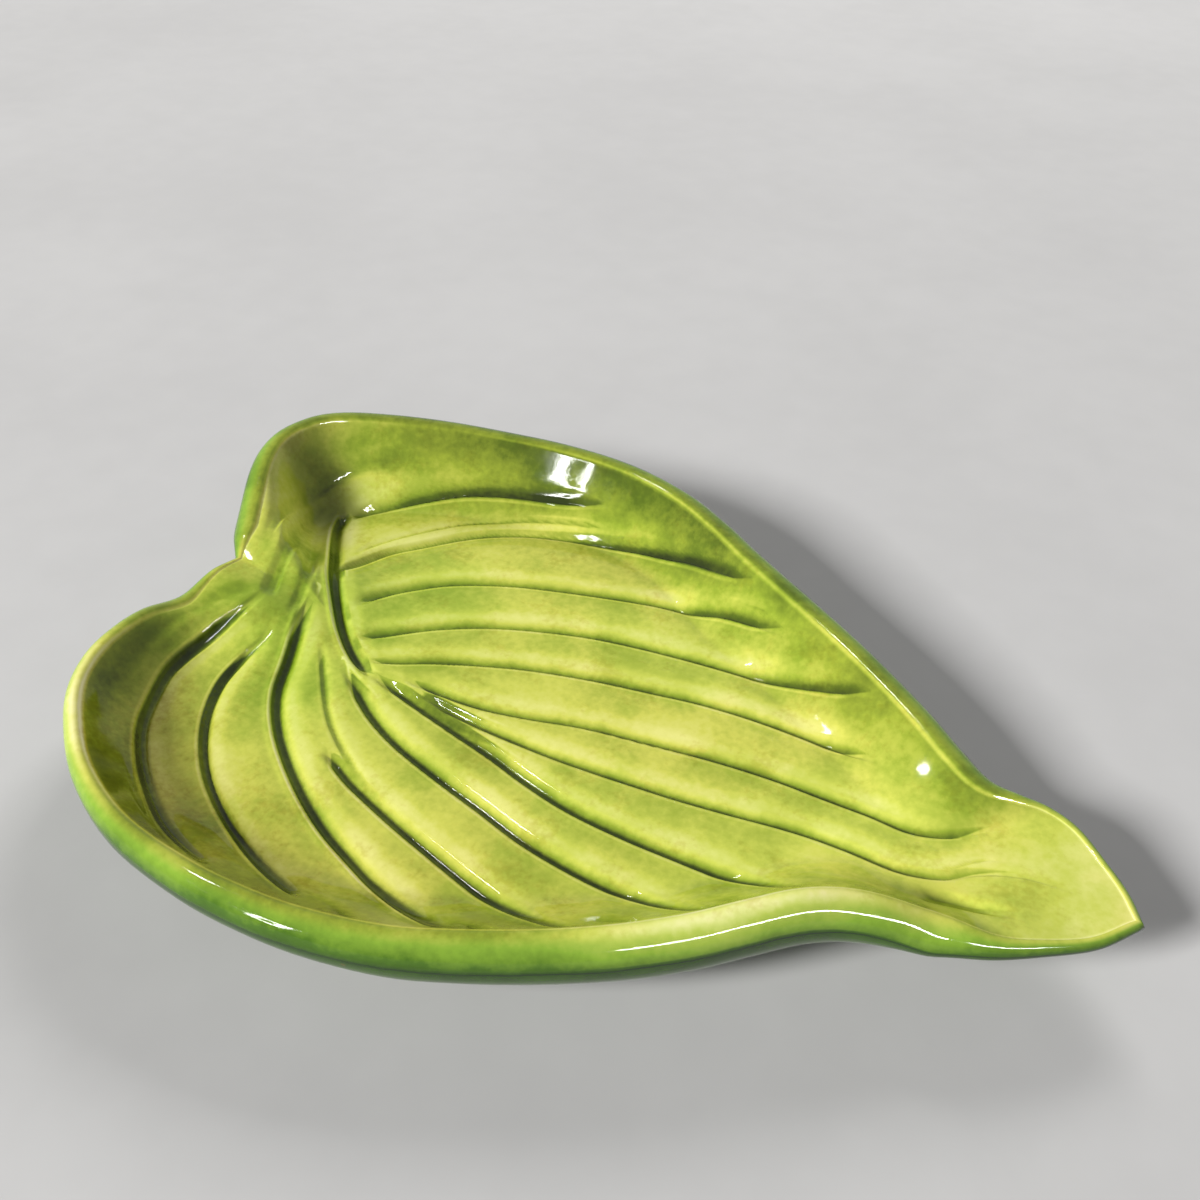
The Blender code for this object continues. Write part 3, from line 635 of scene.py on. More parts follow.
class GlazedLeaf:
    """The cast leaf: fine rings of points drawn over the leaf's section, with the veins pressed in."""

    # The rim mask's values at the widest line and at the foot, and the outer fall's at the widest line
    WIDEST_PLACE = 5.0
    FOOT_PLACE = 9.0
    WIDEST_FALL = 0.35

    def __init__(self, shape: LeafShape, flow: GlazeFlow) -> None:
        """Works out the lines round the leaf between which its rings are drawn."""
        self.shape, self.flow = shape, flow
        self.rings: list[np.ndarray] = []
        self.masks: dict[Mask, list[np.ndarray]] = {mask: [] for mask in Mask}
        self.outline, self.wall = shape.rim()
        self.normals = shape.outward(self.outline)
        steps = np.arange(2 * shape.side_steps)
        along = np.minimum(steps, 2 * shape.side_steps - steps) / shape.side_steps
        start, end = shape.HUB_SHARES
        hub_line = (start + (end - start) * along**shape.INNER_POWER) * shape.length
        self.hub = np.stack([hub_line, np.zeros_like(hub_line)], axis=1)

        thinnest = shape.THIN_RIM_SHARE
        self.fullness = thinnest + (1.0 - thinnest) * ease(self.wall / shape.full_rim_wall)
        slim = shape.SLIM_RIM_SHARE * shape.slim_shoulder.strength(*self.outline.T)
        self.widest = shape.wall_belly * self.fullness
        self.crest = self.widest - shape.shoulder_width * (1.0 - slim) * self.fullness
        self.lip = shape.lip_width * self.fullness
        self.edge = self.beside(self.crest - self.lip)
        self.crest_height = shape.floor(*self.edge.T) + self.wall + shape.lip_drop * self.fullness
        self.widest_height = self.crest_height - shape.shoulder_drop * self.fullness
        self.reach = np.abs(((self.hub - self.edge) * self.normals).sum(axis=1))
        run = shape.stem_run + (shape.wall_run - shape.stem_run) * ease(along / start)
        self.run = np.minimum(run, self.reach)

        self.on_wall = ease(self.wall / flow.wall_start)
        self.tall_side = ease(self.outline[:, 1] / flow.side_run)
        self.thin_rim = self.rim_thinness()
        # Painted shade on the rim, stronger on the tall side
        self.rim_wall = self.on_wall * (1.0 + flow.tall_rim_shade * self.tall_side)

    def beside(self, offset: np.ndarray) -> np.ndarray:
        """The places that lie so far outside the outline, seen from above."""
        return self.outline + self.normals * offset[:, None]

    def rim_thinness(self) -> np.ndarray:
        """How thin the glaze has run along the rim, from 0 to 1: most on the low lobe's shoulder."""
        flow, (x, y) = self.flow, self.outline.T
        lobe_top = bell(x, flow.lobe_top_place, flow.lobe_top_width)
        lobe_top *= ease((y - flow.lobe_top_start) / flow.lobe_top_run)
        patches = flow.thin_shoulder.strength(x, y) + flow.thin_wave.strength(x, y)
        return flow.thin_everywhere + flow.thin_patches * patches - flow.thick_lobe_top * lobe_top

    def add_ring(self, plan: np.ndarray, height: np.ndarray, **masks: np.ndarray | float) -> None:
        """Adds a ring of points with its masks; a mask that isn't given is 0.

        Args:
            plan: The ring's places seen from above.
            height: The ring's heights.
            masks: Values of the masks, by the lower-case name of each.
        """
        self.rings.append(np.column_stack([plan, height]))
        for mask in Mask:
            value = masks.get(mask.name.lower(), 0.0)
            self.masks[mask].append(np.broadcast_to(value, len(plan)))

    def lay_outside(self) -> None:
        """Lays the rings of the underside, from its middle, and of the outer wall up to the rim."""
        shape = self.shape
        way_in = np.abs(((self.hub - self.outline) * self.normals).sum(axis=1))
        tuck_run = np.minimum(shape.wall_tuck, way_in * shape.LONGEST_TUCK_SHARE)
        foot = self.outline + (self.hub - self.outline) * (tuck_run / way_in)[:, None]
        shares = np.linspace(0.0, 1.0, shape.underside_rings, endpoint=False)
        for share in shares**shape.UNDERSIDE_POWER:
            plan = self.hub + (foot - self.hub) * share
            from_foot = (way_in - tuck_run) * (1.0 - share)
            bent = ease(1.0 - from_foot / shape.lobe_lift_run) * ease(share)
            height = shape.underside(plan[:, 0]) + shape.lobe_lift(plan[:, 0]) * bent
            self.add_ring(plan, height, outside=1.0, rim_place=self.FOOT_PLACE)
        belly = self.beside(self.widest)
        for fall in np.linspace(1.0, 0.0, shape.outer_rings, endpoint=False):
            plan = belly + (foot - belly) * fall**shape.TUCK_POWER
            base = shape.underside(plan[:, 0]) + shape.lobe_lift(plan[:, 0])
            height = self.widest_height + (base - self.widest_height) * fall
            outside = self.WIDEST_FALL + (1.0 - self.WIDEST_FALL) * fall
            place = self.WIDEST_PLACE + (self.FOOT_PLACE - self.WIDEST_PLACE) * fall
            self.add_ring(plan, height, outside=outside, rim_place=place)

    def lay_rim(self) -> None:
        """Lays the rings over the rolled rim: its round shoulder, then its lip down to the inner edge."""
        shape = self.shape
        lip_place = shape.lip_width / MM
        for share in np.linspace(0.0, 1.0, shape.shoulder_rings, endpoint=False):
            turn = math.pi / 2 * share
            plan = self.beside(self.widest + (self.crest - self.widest) * (1.0 - math.cos(turn)))
            height = self.widest_height + (self.crest_height - self.widest_height) * math.sin(turn)
            outside = self.WIDEST_FALL * (1.0 - share)
            place = lip_place + (self.WIDEST_PLACE - lip_place) * (1.0 - share)
            self.add_ring(
                plan, height, outside=outside, rim_place=place, thin_rim=self.thin_rim, wall=self.rim_wall
            )
        for share in np.linspace(0.0, 1.0, shape.lip_rings, endpoint=False):
            plan = self.beside(self.crest - self.lip * share)
            height = self.crest_height - shape.lip_drop * self.fullness * share**2
            place = lip_place * (1.0 - share)
            self.add_ring(plan, height, rim_place=place, thin_rim=self.thin_rim, wall=self.rim_wall)

    def flow_masks(self, plan: np.ndarray, off_edge: np.ndarray, climb: np.ndarray) -> dict[str, np.ndarray]:
        """Works out those masks of a ring inside the leaf that don't come from the grooves.

        Args:
            plan: The ring's places seen from above.
            off_edge: How far each lies from the rim's inner edge, in metres.
            climb: How high up the wall each lies, from 0 to 1.

        Returns:
            The masks by their lower-case names.
        """
        flow, rise, (x, y) = self.flow, self.shape.rise, plan.T
        low_side = ease(-y / flow.low_side_run) * (1.0 - rise(x, flow.low_end_shares))
        far_side = self.tall_side * rise(x, flow.far_start_shares)
        far_side *= 1.0 - flow.far_end_loss * rise(x, flow.far_end_shares)
        stem_side = fall_off(np.hypot(x, y), flow.stem_clear, flow.stem_fade)
        # Painted shade on the inner wall, stronger on the low and far sides and on the far floor near the
        # wall, weaker by the stem; partly thicker glaze
        sides = 1.0 + flow.low_wall_shade * low_side + flow.far_wall_shade * far_side
        wall = climb**flow.climb_power * sides
        wall += flow.far_floor_shade * far_side * fall_off(off_edge, 0.0, 2.0 * self.run)
        wall *= self.on_wall * (1.0 - flow.stem_loss * stem_side)
        # Olive tint beside the low wall: partly the glaze's own colour, partly painted shade where the rim
        # shades the floor
        haze = low_side * (1.0 - flow.lobe_end_loss * rise(x, flow.lobe_shares))
        # In the tall lobe's corner by the notch the wall's shade is taken off as painted light
        return {
            "thin_rim": self.thin_rim,
            "rim_place": -off_edge / MM,
            "wall": wall - flow.corner_loss * flow.pale_corner.strength(x, y),
            "haze": haze * fall_off(off_edge, 0.0, flow.haze_run) * (1.0 - stem_side),
            "heart": flow.green_heart.strength(x, y),
        }

    def lay_inside(self) -> None:
        """Lays the rings from the inner edge down the wall and over the floor to the hub line."""
        shape, flow = self.shape, self.flow
        for share in np.linspace(0.0, 1.0, shape.inner_rings + 1) ** shape.INNER_POWER:
            plan = self.edge + (self.hub - self.edge) * share
            off_edge = self.reach * share
            held = ease(off_edge / shape.free_edge) * ease((1.0 - share) / shape.FREE_HUB_SHARE)
            plan += (gather(plan) - plan) * held[:, None]
            climb = (1.0 - np.clip(off_edge / self.run, 0.0, 1.0)) ** shape.wall_power
            pressed = press(*plan.T)
            off_rim = ease(off_edge / flow.edge_run)
            kept = (1.0 - shape.WALL_LOSS_SHARE * climb) * off_rim
            height = shape.floor(*plan.T) + self.wall * climb + (pressed["raised"] - pressed["depth"]) * kept
            self.add_ring(
                plan,
                height,
                pool=pressed["pool"] * (1.0 - flow.wall_pool_loss * climb) * off_rim,
                vein_side=pressed["side"],
                lip=pressed["lip"] * kept,
                crown=pressed["crown"] * kept * (1.0 - climb)
                + flow.tip_crown * shape.rise(plan[:, 0], flow.tip_shares),
                dusk=pressed["dusk"] * kept,
                shade=pressed["shade"] * off_rim,
                **self.flow_masks(plan, off_edge, climb),
            )

    def points(self) -> np.ndarray:
        """All the points, swelling slightly as cast clay does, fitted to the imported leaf's box."""
        shape = self.shape
        points = np.array(self.rings)
        flat = points.reshape(-1, 3)
        swell = np.array([noise.noise(Vector(place) / shape.swell_size) for place in flat])
        on_wall = ease((flat[:, 2] - shape.swell_wall_place) / shape.swell_wall_run)
        swell *= (flat[:, 2] > shape.seat_height + shape.swell_start) * shape.swell_height
        flat[:, 2] += swell * (1.0 - shape.CALM_WALL_SHARE * on_wall)
        low, high = (np.array(corner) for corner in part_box("leaf_body"))
        own_low, own_high = flat.min(axis=0), flat.max(axis=0)
        flat[:] = low + (flat - own_low) * (high - low) / (own_high - own_low)
        return points

    def build(self, glaze: bpy.types.Material) -> bpy.types.Object:
        """Draws a grid over the rings, closes its seams and dresses it.

        Args:
            glaze: The material of the whole leaf.

        Returns:
            The finished piece.
        """
        self.lay_outside()
        self.lay_rim()
        self.lay_inside()
        points = self.points()
        masks = {mask: np.array(rows) for mask, rows in self.masks.items()}
        rows, columns = len(points) - 1, points.shape[1]
        mesh = bmesh.new()
        bmesh.ops.create_grid(mesh, x_segments=columns, y_segments=rows, size=1.0)
        layers = {mask: mesh.verts.layers.float.new(mask.value) for mask in Mask}
        for point in mesh.verts:
            step = round((point.co.x + 1.0) / 2.0 * columns) % columns
            ring = round((point.co.y + 1.0) / 2.0 * rows)
            point.co = points[ring, step]
            for mask, layer in layers.items():
                point[layer] = masks[mask][ring, step]
        bmesh.ops.remove_doubles(mesh, verts=mesh.verts, dist=MERGE_DISTANCE)
        bmesh.ops.recalc_face_normals(mesh, faces=mesh.faces)
        return finish_piece(mesh, "glazed_leaf", glaze, "leaf_body")


def place_in_scene(name: str, data: bpy.types.ID) -> bpy.types.Object:
    """A new object of that name and data, linked into the scene."""
    made = bpy.data.objects.new(name, data)
    bpy.context.scene.collection.objects.link(made)
    return made


def finish_piece(
    mesh: bmesh.types.BMesh, name: str, material: bpy.types.Material, node: str | None
) -> bpy.types.Object:
    """Turns a bmesh into a smooth-shaded piece of the dish that rides on its body.

    Args:
        mesh: The piece's shape, which is freed here.
        name: The piece's name.
        material: Its finish.
        node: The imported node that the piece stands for, if any.

    Returns:
        The piece's object.
    """
    data = bpy.data.meshes.new(name)
    mesh.to_mesh(data)
    mesh.free()
    data.materials.append(material)
    data.shade_smooth()
    piece = place_in_scene(name, data)
    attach(piece, "root")
    if node is not None:
        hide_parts(node)
    triangles = sum(len(face.vertices) - 2 for face in data.polygons)
    LOG.info("%s: %d triangles", name, triangles)
    return piece


class Pen:
    """Adds and links the nodes of one node tree."""

    def __init__(self, tree: bpy.types.NodeTree) -> None:
        """Keeps the tree to draw in."""
        self.tree = tree

    def node(self, kind: str, **settings: object) -> bpy.types.Node:
        """A new node of that kind, with its settings."""
        made = self.tree.nodes.new(kind)
        for name, value in settings.items():
            setattr(made, name, value)
        return made

    def feed(self, socket: bpy.types.NodeSocket, value: object) -> None:
        """Links a socket into another one, or sets its own value."""
        if isinstance(value, bpy.types.NodeSocket):
            self.tree.links.new(value, socket)
        elif isinstance(value, tuple) and len(value) == 3 and socket.type == "RGBA":
            socket.default_value = (*value, 1.0)
        else:
            socket.default_value = value

    def math(self, operation: str, a: object, b: object = 0.0, clamp: bool = False) -> bpy.types.NodeSocket:
        """The result of a Math node."""
        made = self.node("ShaderNodeMath", operation=operation, use_clamp=clamp)
        self.feed(made.inputs[0], a)
        self.feed(made.inputs[1], b)
        return made.outputs[0]

    def times(self, a: object, b: object, clamp: bool = False) -> bpy.types.NodeSocket:
        """One value times another."""
        return self.math("MULTIPLY", a, b, clamp)

    def plus(self, a: object, b: object) -> bpy.types.NodeSocket:
        """One value plus another."""
        return self.math("ADD", a, b)

    def minus(self, a: object, b: object) -> bpy.types.NodeSocket:
        """One value minus another."""
        return self.math("SUBTRACT", a, b)

    def smooth(self, value: object, low: float, high: float) -> bpy.types.NodeSocket:
        """0 where the value is at low, 1 at high, and a smooth step between."""
        made = self.node("ShaderNodeMapRange", interpolation_type="SMOOTHSTEP")
        self.feed(made.inputs["Value"], value)
        made.inputs["From Min"].default_value = low
        made.inputs["From Max"].default_value = high
        return made.outputs[0]

    def hump(self, value: object, middle: float, width: float) -> bpy.types.NodeSocket:
        """1 where the value is at the middle, falling smoothly to 0 one width away from it."""
        away = self.math("ABSOLUTE", self.minus(value, middle))
        return self.minus(1.0, self.smooth(away, 0.0, width))

    def mix(self, share: object, a: object, b: object, blend: str = "MIX") -> bpy.types.NodeSocket:
        """Colour a changing to colour b as share goes from 0 to 1."""
        made = self.node("ShaderNodeMix", data_type="RGBA", blend_type=blend, clamp_factor=True)
        self.feed(made.inputs["Factor"], share)
        self.feed(made.inputs[6], a)
        self.feed(made.inputs[7], b)
        return made.outputs[2]

    def ramp(self, value: object, stops: tuple[tuple[float, Colour], ...]) -> bpy.types.NodeSocket:
        """A colour read from a ramp of stops."""
        made = self.node("ShaderNodeValToRGB")
        self.feed(made.inputs[0], value)
        elements = made.color_ramp.elements
        while len(elements) < len(stops):
            elements.new(1.0)
        for element, (place, colour) in zip(elements, stops):
            element.position = place
            element.color = (*colour, 1.0)
        return made.outputs[0]

    def attribute(self, mask: Mask) -> bpy.types.NodeSocket:
        """A mask kept on the piece's points."""
        made = self.node("ShaderNodeAttribute", attribute_type="GEOMETRY", attribute_name=mask.value)
        return made.outputs["Fac"]

    def place(self) -> bpy.types.NodeSocket:
        """The place on the object, in metres."""
        return self.node("ShaderNodeTexCoord").outputs["Object"]

    def group(self, tree: bpy.types.NodeTree, **values: object) -> bpy.types.NodeSocket:
        """The first output of a node group, whose inputs get these values."""
        made = self.node("ShaderNodeGroup", node_tree=tree)
        for name, value in values.items():
            self.feed(made.inputs[name.replace("_", " ").capitalize()], value)
        return made.outputs[0]


def start_group(
    name: str, inputs: dict[str, float], output: str
) -> tuple[Pen, bpy.types.Node, bpy.types.Node]:
    """Starts a node group with float inputs and one float output.

    Args:
        name: The group's name.
        inputs: The inputs' names and the values they start with.
        output: The output's name.

    Returns:
        A pen for the group, its input node and its output node.
    """
    tree = bpy.data.node_groups.new(name, "ShaderNodeTree")
    for label, value in inputs.items():
        socket = tree.interface.new_socket(label, in_out="INPUT", socket_type="NodeSocketFloat")
        socket.default_value = value
    tree.interface.new_socket(output, in_out="OUTPUT", socket_type="NodeSocketFloat")
    pen = Pen(tree)
    return pen, pen.node("NodeGroupInput"), pen.node("NodeGroupOutput")


def cloudy_group() -> bpy.types.NodeTree:
    """Soft clouds from 0 to 1, with a fine grain mixed in."""
    pen, given, out = start_group("cloudy", {"Scale": 80.0, "Grain": 0.2}, "Cloud")
    place = pen.place()
    soft = pen.node("ShaderNodeTexNoise")
    fine = pen.node("ShaderNodeTexNoise")
    for made, factor, detail in ((soft, 1.0, 3.0), (fine, 9.0, 4.0)):
        pen.feed(made.inputs["Vector"], place)
        pen.feed(made.inputs["Scale"], pen.times(given.outputs["Scale"], factor))
        made.inputs["Detail"].default_value = detail
    kept = pen.minus(1.0, given.outputs["Grain"])
    cloud = pen.times(soft.outputs["Fac"], kept)
    grain = pen.times(fine.outputs["Fac"], given.outputs["Grain"])
    pen.feed(out.inputs[0], pen.smooth(pen.plus(cloud, grain), 0.3, 0.7))
    return pen.tree


def specks_group() -> bpy.types.NodeTree:
    """Round specks scattered at random: 1 in a speck and 0 around it."""
    pen, given, out = start_group("specks", {"Scale": 200.0, "Size": 0.1, "Amount": 0.1}, "Speck")
    cells = pen.node("ShaderNodeTexVoronoi")
    pen.feed(cells.inputs["Vector"], pen.place())
    pen.feed(cells.inputs["Scale"], given.outputs["Scale"])
    chance = pen.node("ShaderNodeSeparateColor")
    pen.feed(chance.inputs[0], cells.outputs["Color"])
    chosen = pen.math("LESS_THAN", chance.outputs[0], given.outputs["Amount"])
    size = pen.times(chance.outputs[1], given.outputs["Size"])
    near = pen.math("DIVIDE", pen.minus(size, cells.outputs["Distance"]), given.outputs["Size"])
    dot = pen.smooth(near, 0.0, 0.3)
    pen.feed(out.inputs[0], pen.times(dot, chosen))
    return pen.tree


@dataclass(frozen=True)
class Patterns:
    """The node groups that the finishes share."""

    cloudy: bpy.types.NodeTree
    specks: bpy.types.NodeTree


def start_material(name: str) -> tuple[Pen, bpy.types.Node, bpy.types.Material]:
    """A new material, a pen for its nodes, and its Principled shader."""
    material = bpy.data.materials.new(name)
    material.use_nodes = True
    return Pen(material.node_tree), material.node_tree.nodes["Principled BSDF"], material


@dataclass(frozen=True)
class GreenGlaze:
    """Translucent green glaze over pale clay: pale where it is thin, dark where it pools, with sheen and
    shade painted in where the leaf's masks carry them.
    """

    inside: tuple[tuple[float, Colour], ...] = (
        (0.00, (0.84, 0.78, 0.42)),
        (0.20, (0.74, 0.71, 0.23)),
        (0.40, (0.57, 0.57, 0.090)),
        (0.60, (0.28, 0.34, 0.028)),
        (0.80, (0.090, 0.128, 0.007)),
        (1.00, (0.025, 0.037, 0.003)),
    )
    outside: tuple[tuple[float, Colour], ...] = (
        (0.00, (0.68, 0.72, 0.24)),
        (0.12, (0.44, 0.54, 0.080)),
        (0.30, (0.22, 0.37, 0.030)),
        (0.50, (0.060, 0.14, 0.007)),
        (0.75, (0.012, 0.042, 0.002)),
        (1.00, (0.05, 0.12, 0.008)),
    )
    haze_tint: Colour = (0.64, 0.57, 0.36)
    heart_tint: Colour = (0.86, 0.97, 0.80)
    patch_tint: Colour = (0.86, 0.82, 0.68)
    leafy_tint: Colour = (0.90, 0.98, 0.86)
    speck: Colour = (0.12, 0.09, 0.02)

    # Glaze thickness, from 0 to 1: what there is everywhere, and what each mask adds. Some masks also carry
    # painted light: a sheen on the lamina crests, and shade near crisp edges and on the walls.
    EVEN_THICKNESS = 0.42
    MASK_WEIGHTS = {
        Mask.CROWN: -0.15,
        Mask.DUSK: 0.06,
        Mask.SHADE: 0.17,
        Mask.HEART: 0.05,
        Mask.WALL: 0.20,
    }
    POOL_WEIGHT = 0.36
    LIP_WEIGHT = -0.34
    RIM_LINE_WEIGHT = -0.45
    SHOULDER_WEIGHT = -0.50
    CLOUD_WEIGHT = 0.18

    # Where these lie in millimetres: from and to for a step, middle and width for a hump
    POOL_STEP = (-0.10, 0.14)
    LIP_HUMP = (-0.30, 0.34)
    RIM_LINE_HUMP = (0.15, 0.45)
    SHOULDER_HUMP = (1.4, 2.4)

    # Between which values of a mask or a cloud something starts and is full
    THIN_STEP = (0.5, 1.0)
    PATCH_STEP = (0.55, 1.1)
    LEAFY_STEP = (0.35, 0.95)
    OUTSIDE_STEP = (0.0, 0.14)

    # The thinness of the rim at which the outer ramp stays put, and how far it and the clouds move it
    STILL_THINNESS = 0.97
    THINNESS_PULL = 0.45
    CLOUD_PULL = 0.14

    HAZE_BASE = 0.45
    SPECK_SHARE = 0.7
    ROUGHNESS = 0.05
    ROUGHER_IN_CLOUDS = 0.04

    def thickness(self, pen: Pen, cloud: bpy.types.NodeSocket) -> bpy.types.NodeSocket:
        """How thick the glaze lies inside the leaf, from 0 to 1."""
        side, rim = pen.attribute(Mask.VEIN_SIDE), pen.attribute(Mask.RIM_PLACE)
        thin_rim = pen.attribute(Mask.THIN_RIM)
        thin_shoulder = pen.smooth(thin_rim, *self.THIN_STEP)
        parts = [(pen.attribute(mask), weight) for mask, weight in self.MASK_WEIGHTS.items()]
        parts += [
            (pen.times(pen.attribute(Mask.POOL), pen.smooth(side, *self.POOL_STEP)), self.POOL_WEIGHT),
            (pen.times(pen.attribute(Mask.LIP), pen.hump(side, *self.LIP_HUMP)), self.LIP_WEIGHT),
            (pen.times(pen.hump(rim, *self.RIM_LINE_HUMP), thin_rim), self.RIM_LINE_WEIGHT),
            (pen.times(pen.hump(rim, *self.SHOULDER_HUMP), thin_shoulder), self.SHOULDER_WEIGHT),
            (pen.minus(cloud, 0.5), self.CLOUD_WEIGHT),
        ]
        thickness = self.EVEN_THICKNESS
        for value, weight in parts:
            thickness = pen.plus(thickness, pen.times(value, weight))
        return thickness

    def material(self, patterns: Patterns) -> bpy.types.Material:
        """Builds the glaze from the masks that the leaf's points carry."""
        pen, shader, material = start_material("leaf_green_glaze")
        cloud = pen.group(patterns.cloudy, scale=110.0, grain=0.3)
        inside = pen.ramp(self.thickness(pen, cloud), self.inside)
        patches = pen.group(patterns.cloudy, scale=150.0, grain=0.4)
        # Olive tint beside the low wall: partly the glaze's own colour, partly painted shade
        haze = pen.times(pen.attribute(Mask.HAZE), pen.plus(patches, self.HAZE_BASE), clamp=True)
        inside = pen.mix(haze, inside, self.haze_tint, "MULTIPLY")
        inside = pen.mix(pen.attribute(Mask.HEART), inside, self.heart_tint, "MULTIPLY")
        inside = pen.mix(pen.smooth(patches, *self.PATCH_STEP), inside, self.patch_tint, "MULTIPLY")
        leafy = pen.group(patterns.cloudy, scale=55.0, grain=0.15)
        inside = pen.mix(pen.smooth(leafy, *self.LEAFY_STEP), inside, self.leafy_tint, "MULTIPLY")
        fall = pen.attribute(Mask.OUTSIDE)
        thin_rim = pen.attribute(Mask.THIN_RIM)
        unrest = pen.times(pen.minus(cloud, 0.5), self.CLOUD_PULL)
        thicker = pen.times(pen.minus(self.STILL_THINNESS, thin_rim), self.THINNESS_PULL)
        outside = pen.ramp(pen.plus(pen.plus(fall, thicker), unrest), self.outside)
        colour = pen.mix(pen.smooth(fall, *self.OUTSIDE_STEP), inside, outside)
        specks = pen.group(patterns.specks, scale=230.0, size=0.16, amount=0.02)
        colour = pen.mix(pen.times(specks, self.SPECK_SHARE), colour, self.speck)
        pen.feed(shader.inputs["Base Color"], colour)

        fine = pen.group(patterns.cloudy, scale=420.0, grain=0.3)
        rougher = pen.times(fine, self.ROUGHER_IN_CLOUDS)
        pen.feed(shader.inputs["Roughness"], pen.plus(rougher, self.ROUGHNESS))
        bump = pen.node("ShaderNodeBump")
        bump.inputs["Strength"].default_value = 0.2
        bump.inputs["Distance"].default_value = 0.04 * MM
        ripple = pen.group(patterns.cloudy, scale=260.0, grain=0.12)
        pen.feed(bump.inputs["Height"], ripple)
        pen.feed(shader.inputs["Normal"], bump.outputs[0])
        shader.inputs["IOR"].default_value = 1.5
        shader.inputs["Specular IOR Level"].default_value = 0.4
        return material


@dataclass(frozen=True)
class ClearRubber:
    """Milky clear rubber of the stick-on pads."""

    colour: Colour = (0.62, 0.63, 0.60)
    shaded: Colour = (0.50, 0.51, 0.47)

    def material(self, patterns: Patterns) -> bpy.types.Material:
        """Builds the rubber with faint clouds and a satin, slightly dusty gloss."""
        pen, shader, material = start_material("clear_rubber")
        cloud = pen.group(patterns.cloudy, scale=600.0, grain=0.4)
        pen.feed(shader.inputs["Base Color"], pen.mix(cloud, self.colour, self.shaded))
        pen.feed(shader.inputs["Roughness"], pen.plus(pen.times(cloud, 0.2), 0.35))
        bump = pen.node("ShaderNodeBump")
        bump.inputs["Strength"].default_value = 0.3
        bump.inputs["Distance"].default_value = 0.03 * MM
        pen.feed(bump.inputs["Height"], cloud)
        pen.feed(shader.inputs["Normal"], bump.outputs[0])
        shader.inputs["Transmission Weight"].default_value = 0.25
        shader.inputs["IOR"].default_value = 1.49
        return material


@dataclass(frozen=True)
class StickOnPad:
    """A round clear pad, with a rounded foot, a shallow dimple under it and its film of glue."""

    node: str
    steps: int = 96
    edge_radius: float = 0.45 * MM
    edge_steps: int = 8
    taper: float = 0.25 * MM
    dimple_depth: float = 0.15 * MM
    dimple_radius: float = 2.6 * MM
    dimple_steps: int = 8
    glue_inset: float = 0.35 * MM
    glue_height: float = 0.3 * MM
    sharp_angle: float = 40.0

    # Where the side leans in faster: share of the taper, and of the pad's height
    LEAN_SHARES = (0.4, 0.9)

    def profile(self, radius: float, height: float) -> list[tuple[float, float, float]]:
        """The pad's section from the middle of its foot, out and up, to the middle of its top."""
        points = []
        for step in range(self.dimple_steps + 1):
            share = step / self.dimple_steps
            lift = self.dimple_depth * (0.5 + 0.5 * math.cos(math.pi * share))
            points.append((self.dimple_radius * share, 0.0, lift))
        corner = radius - self.edge_radius
        for step in range(self.edge_steps + 1):
            turn = math.pi / 2 * step / self.edge_steps
            across = corner + self.edge_radius * math.sin(turn)
            points.append((across, 0.0, self.edge_radius * (1.0 - math.cos(turn))))
        lean, lean_height = self.LEAN_SHARES
        points.append((radius - lean * self.taper, 0.0, lean_height * height))
        points.append((radius - self.taper, 0.0, height))
        points.append((0.0, 0.0, height))
        return points

    def build_round(
        self, name: str, profile: list[tuple[float, float, float]], foot: Vector,
        rubber: bpy.types.Material, node: str | None,
    ) -> None:
        """Turns a profile right round into a finished piece.

        Args:
            name: The piece's name.
            profile: Its section, from the middle of its foot to the middle of its top.
            foot: Where the middle of its foot goes.
            rubber: Its material.
            node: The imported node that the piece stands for, if any.
        """
        mesh = bmesh.new()
        points = [mesh.verts.new(point) for point in profile]
        edges = [mesh.edges.new(pair) for pair in zip(points, points[1:])]
        bmesh.ops.spin(
            mesh,
            geom=points + edges,
            cent=(0.0, 0.0, 0.0),
            axis=(0.0, 0.0, 1.0),
            angle=math.tau,
            steps=self.steps,
            use_merge=True,
        )
        bmesh.ops.remove_doubles(mesh, verts=mesh.verts, dist=MERGE_DISTANCE)
        bmesh.ops.recalc_face_normals(mesh, faces=mesh.faces)
        bmesh.ops.translate(mesh, verts=mesh.verts, vec=foot)
        piece = finish_piece(mesh, name, rubber, node)
        piece.data.set_sharp_from_angle(angle=math.radians(self.sharp_angle))

    def build(self, rubber: bpy.types.Material) -> None:
        """Builds the pad in its node's place, and the glue between it and the leaf."""
        low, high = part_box(self.node)
        foot = Vector(((low.x + high.x) / 2, (low.y + high.y) / 2, low.z))
        radius, height = (high.x - low.x) / 2, high.z - low.z
        self.build_round(f"{self.node}_clear", self.profile(radius, height), foot, rubber, self.node)
        inner = radius - self.taper - self.glue_inset
        thick = self.glue_height
        film = [(0.0, 0.0, 0.0), (inner, 0.0, 0.0), (inner, 0.0, thick), (0.0, 0.0, thick)]
        top = foot + Vector((0.0, 0.0, height))
        self.build_round(f"{self.node}_glue", film, top, rubber, None)


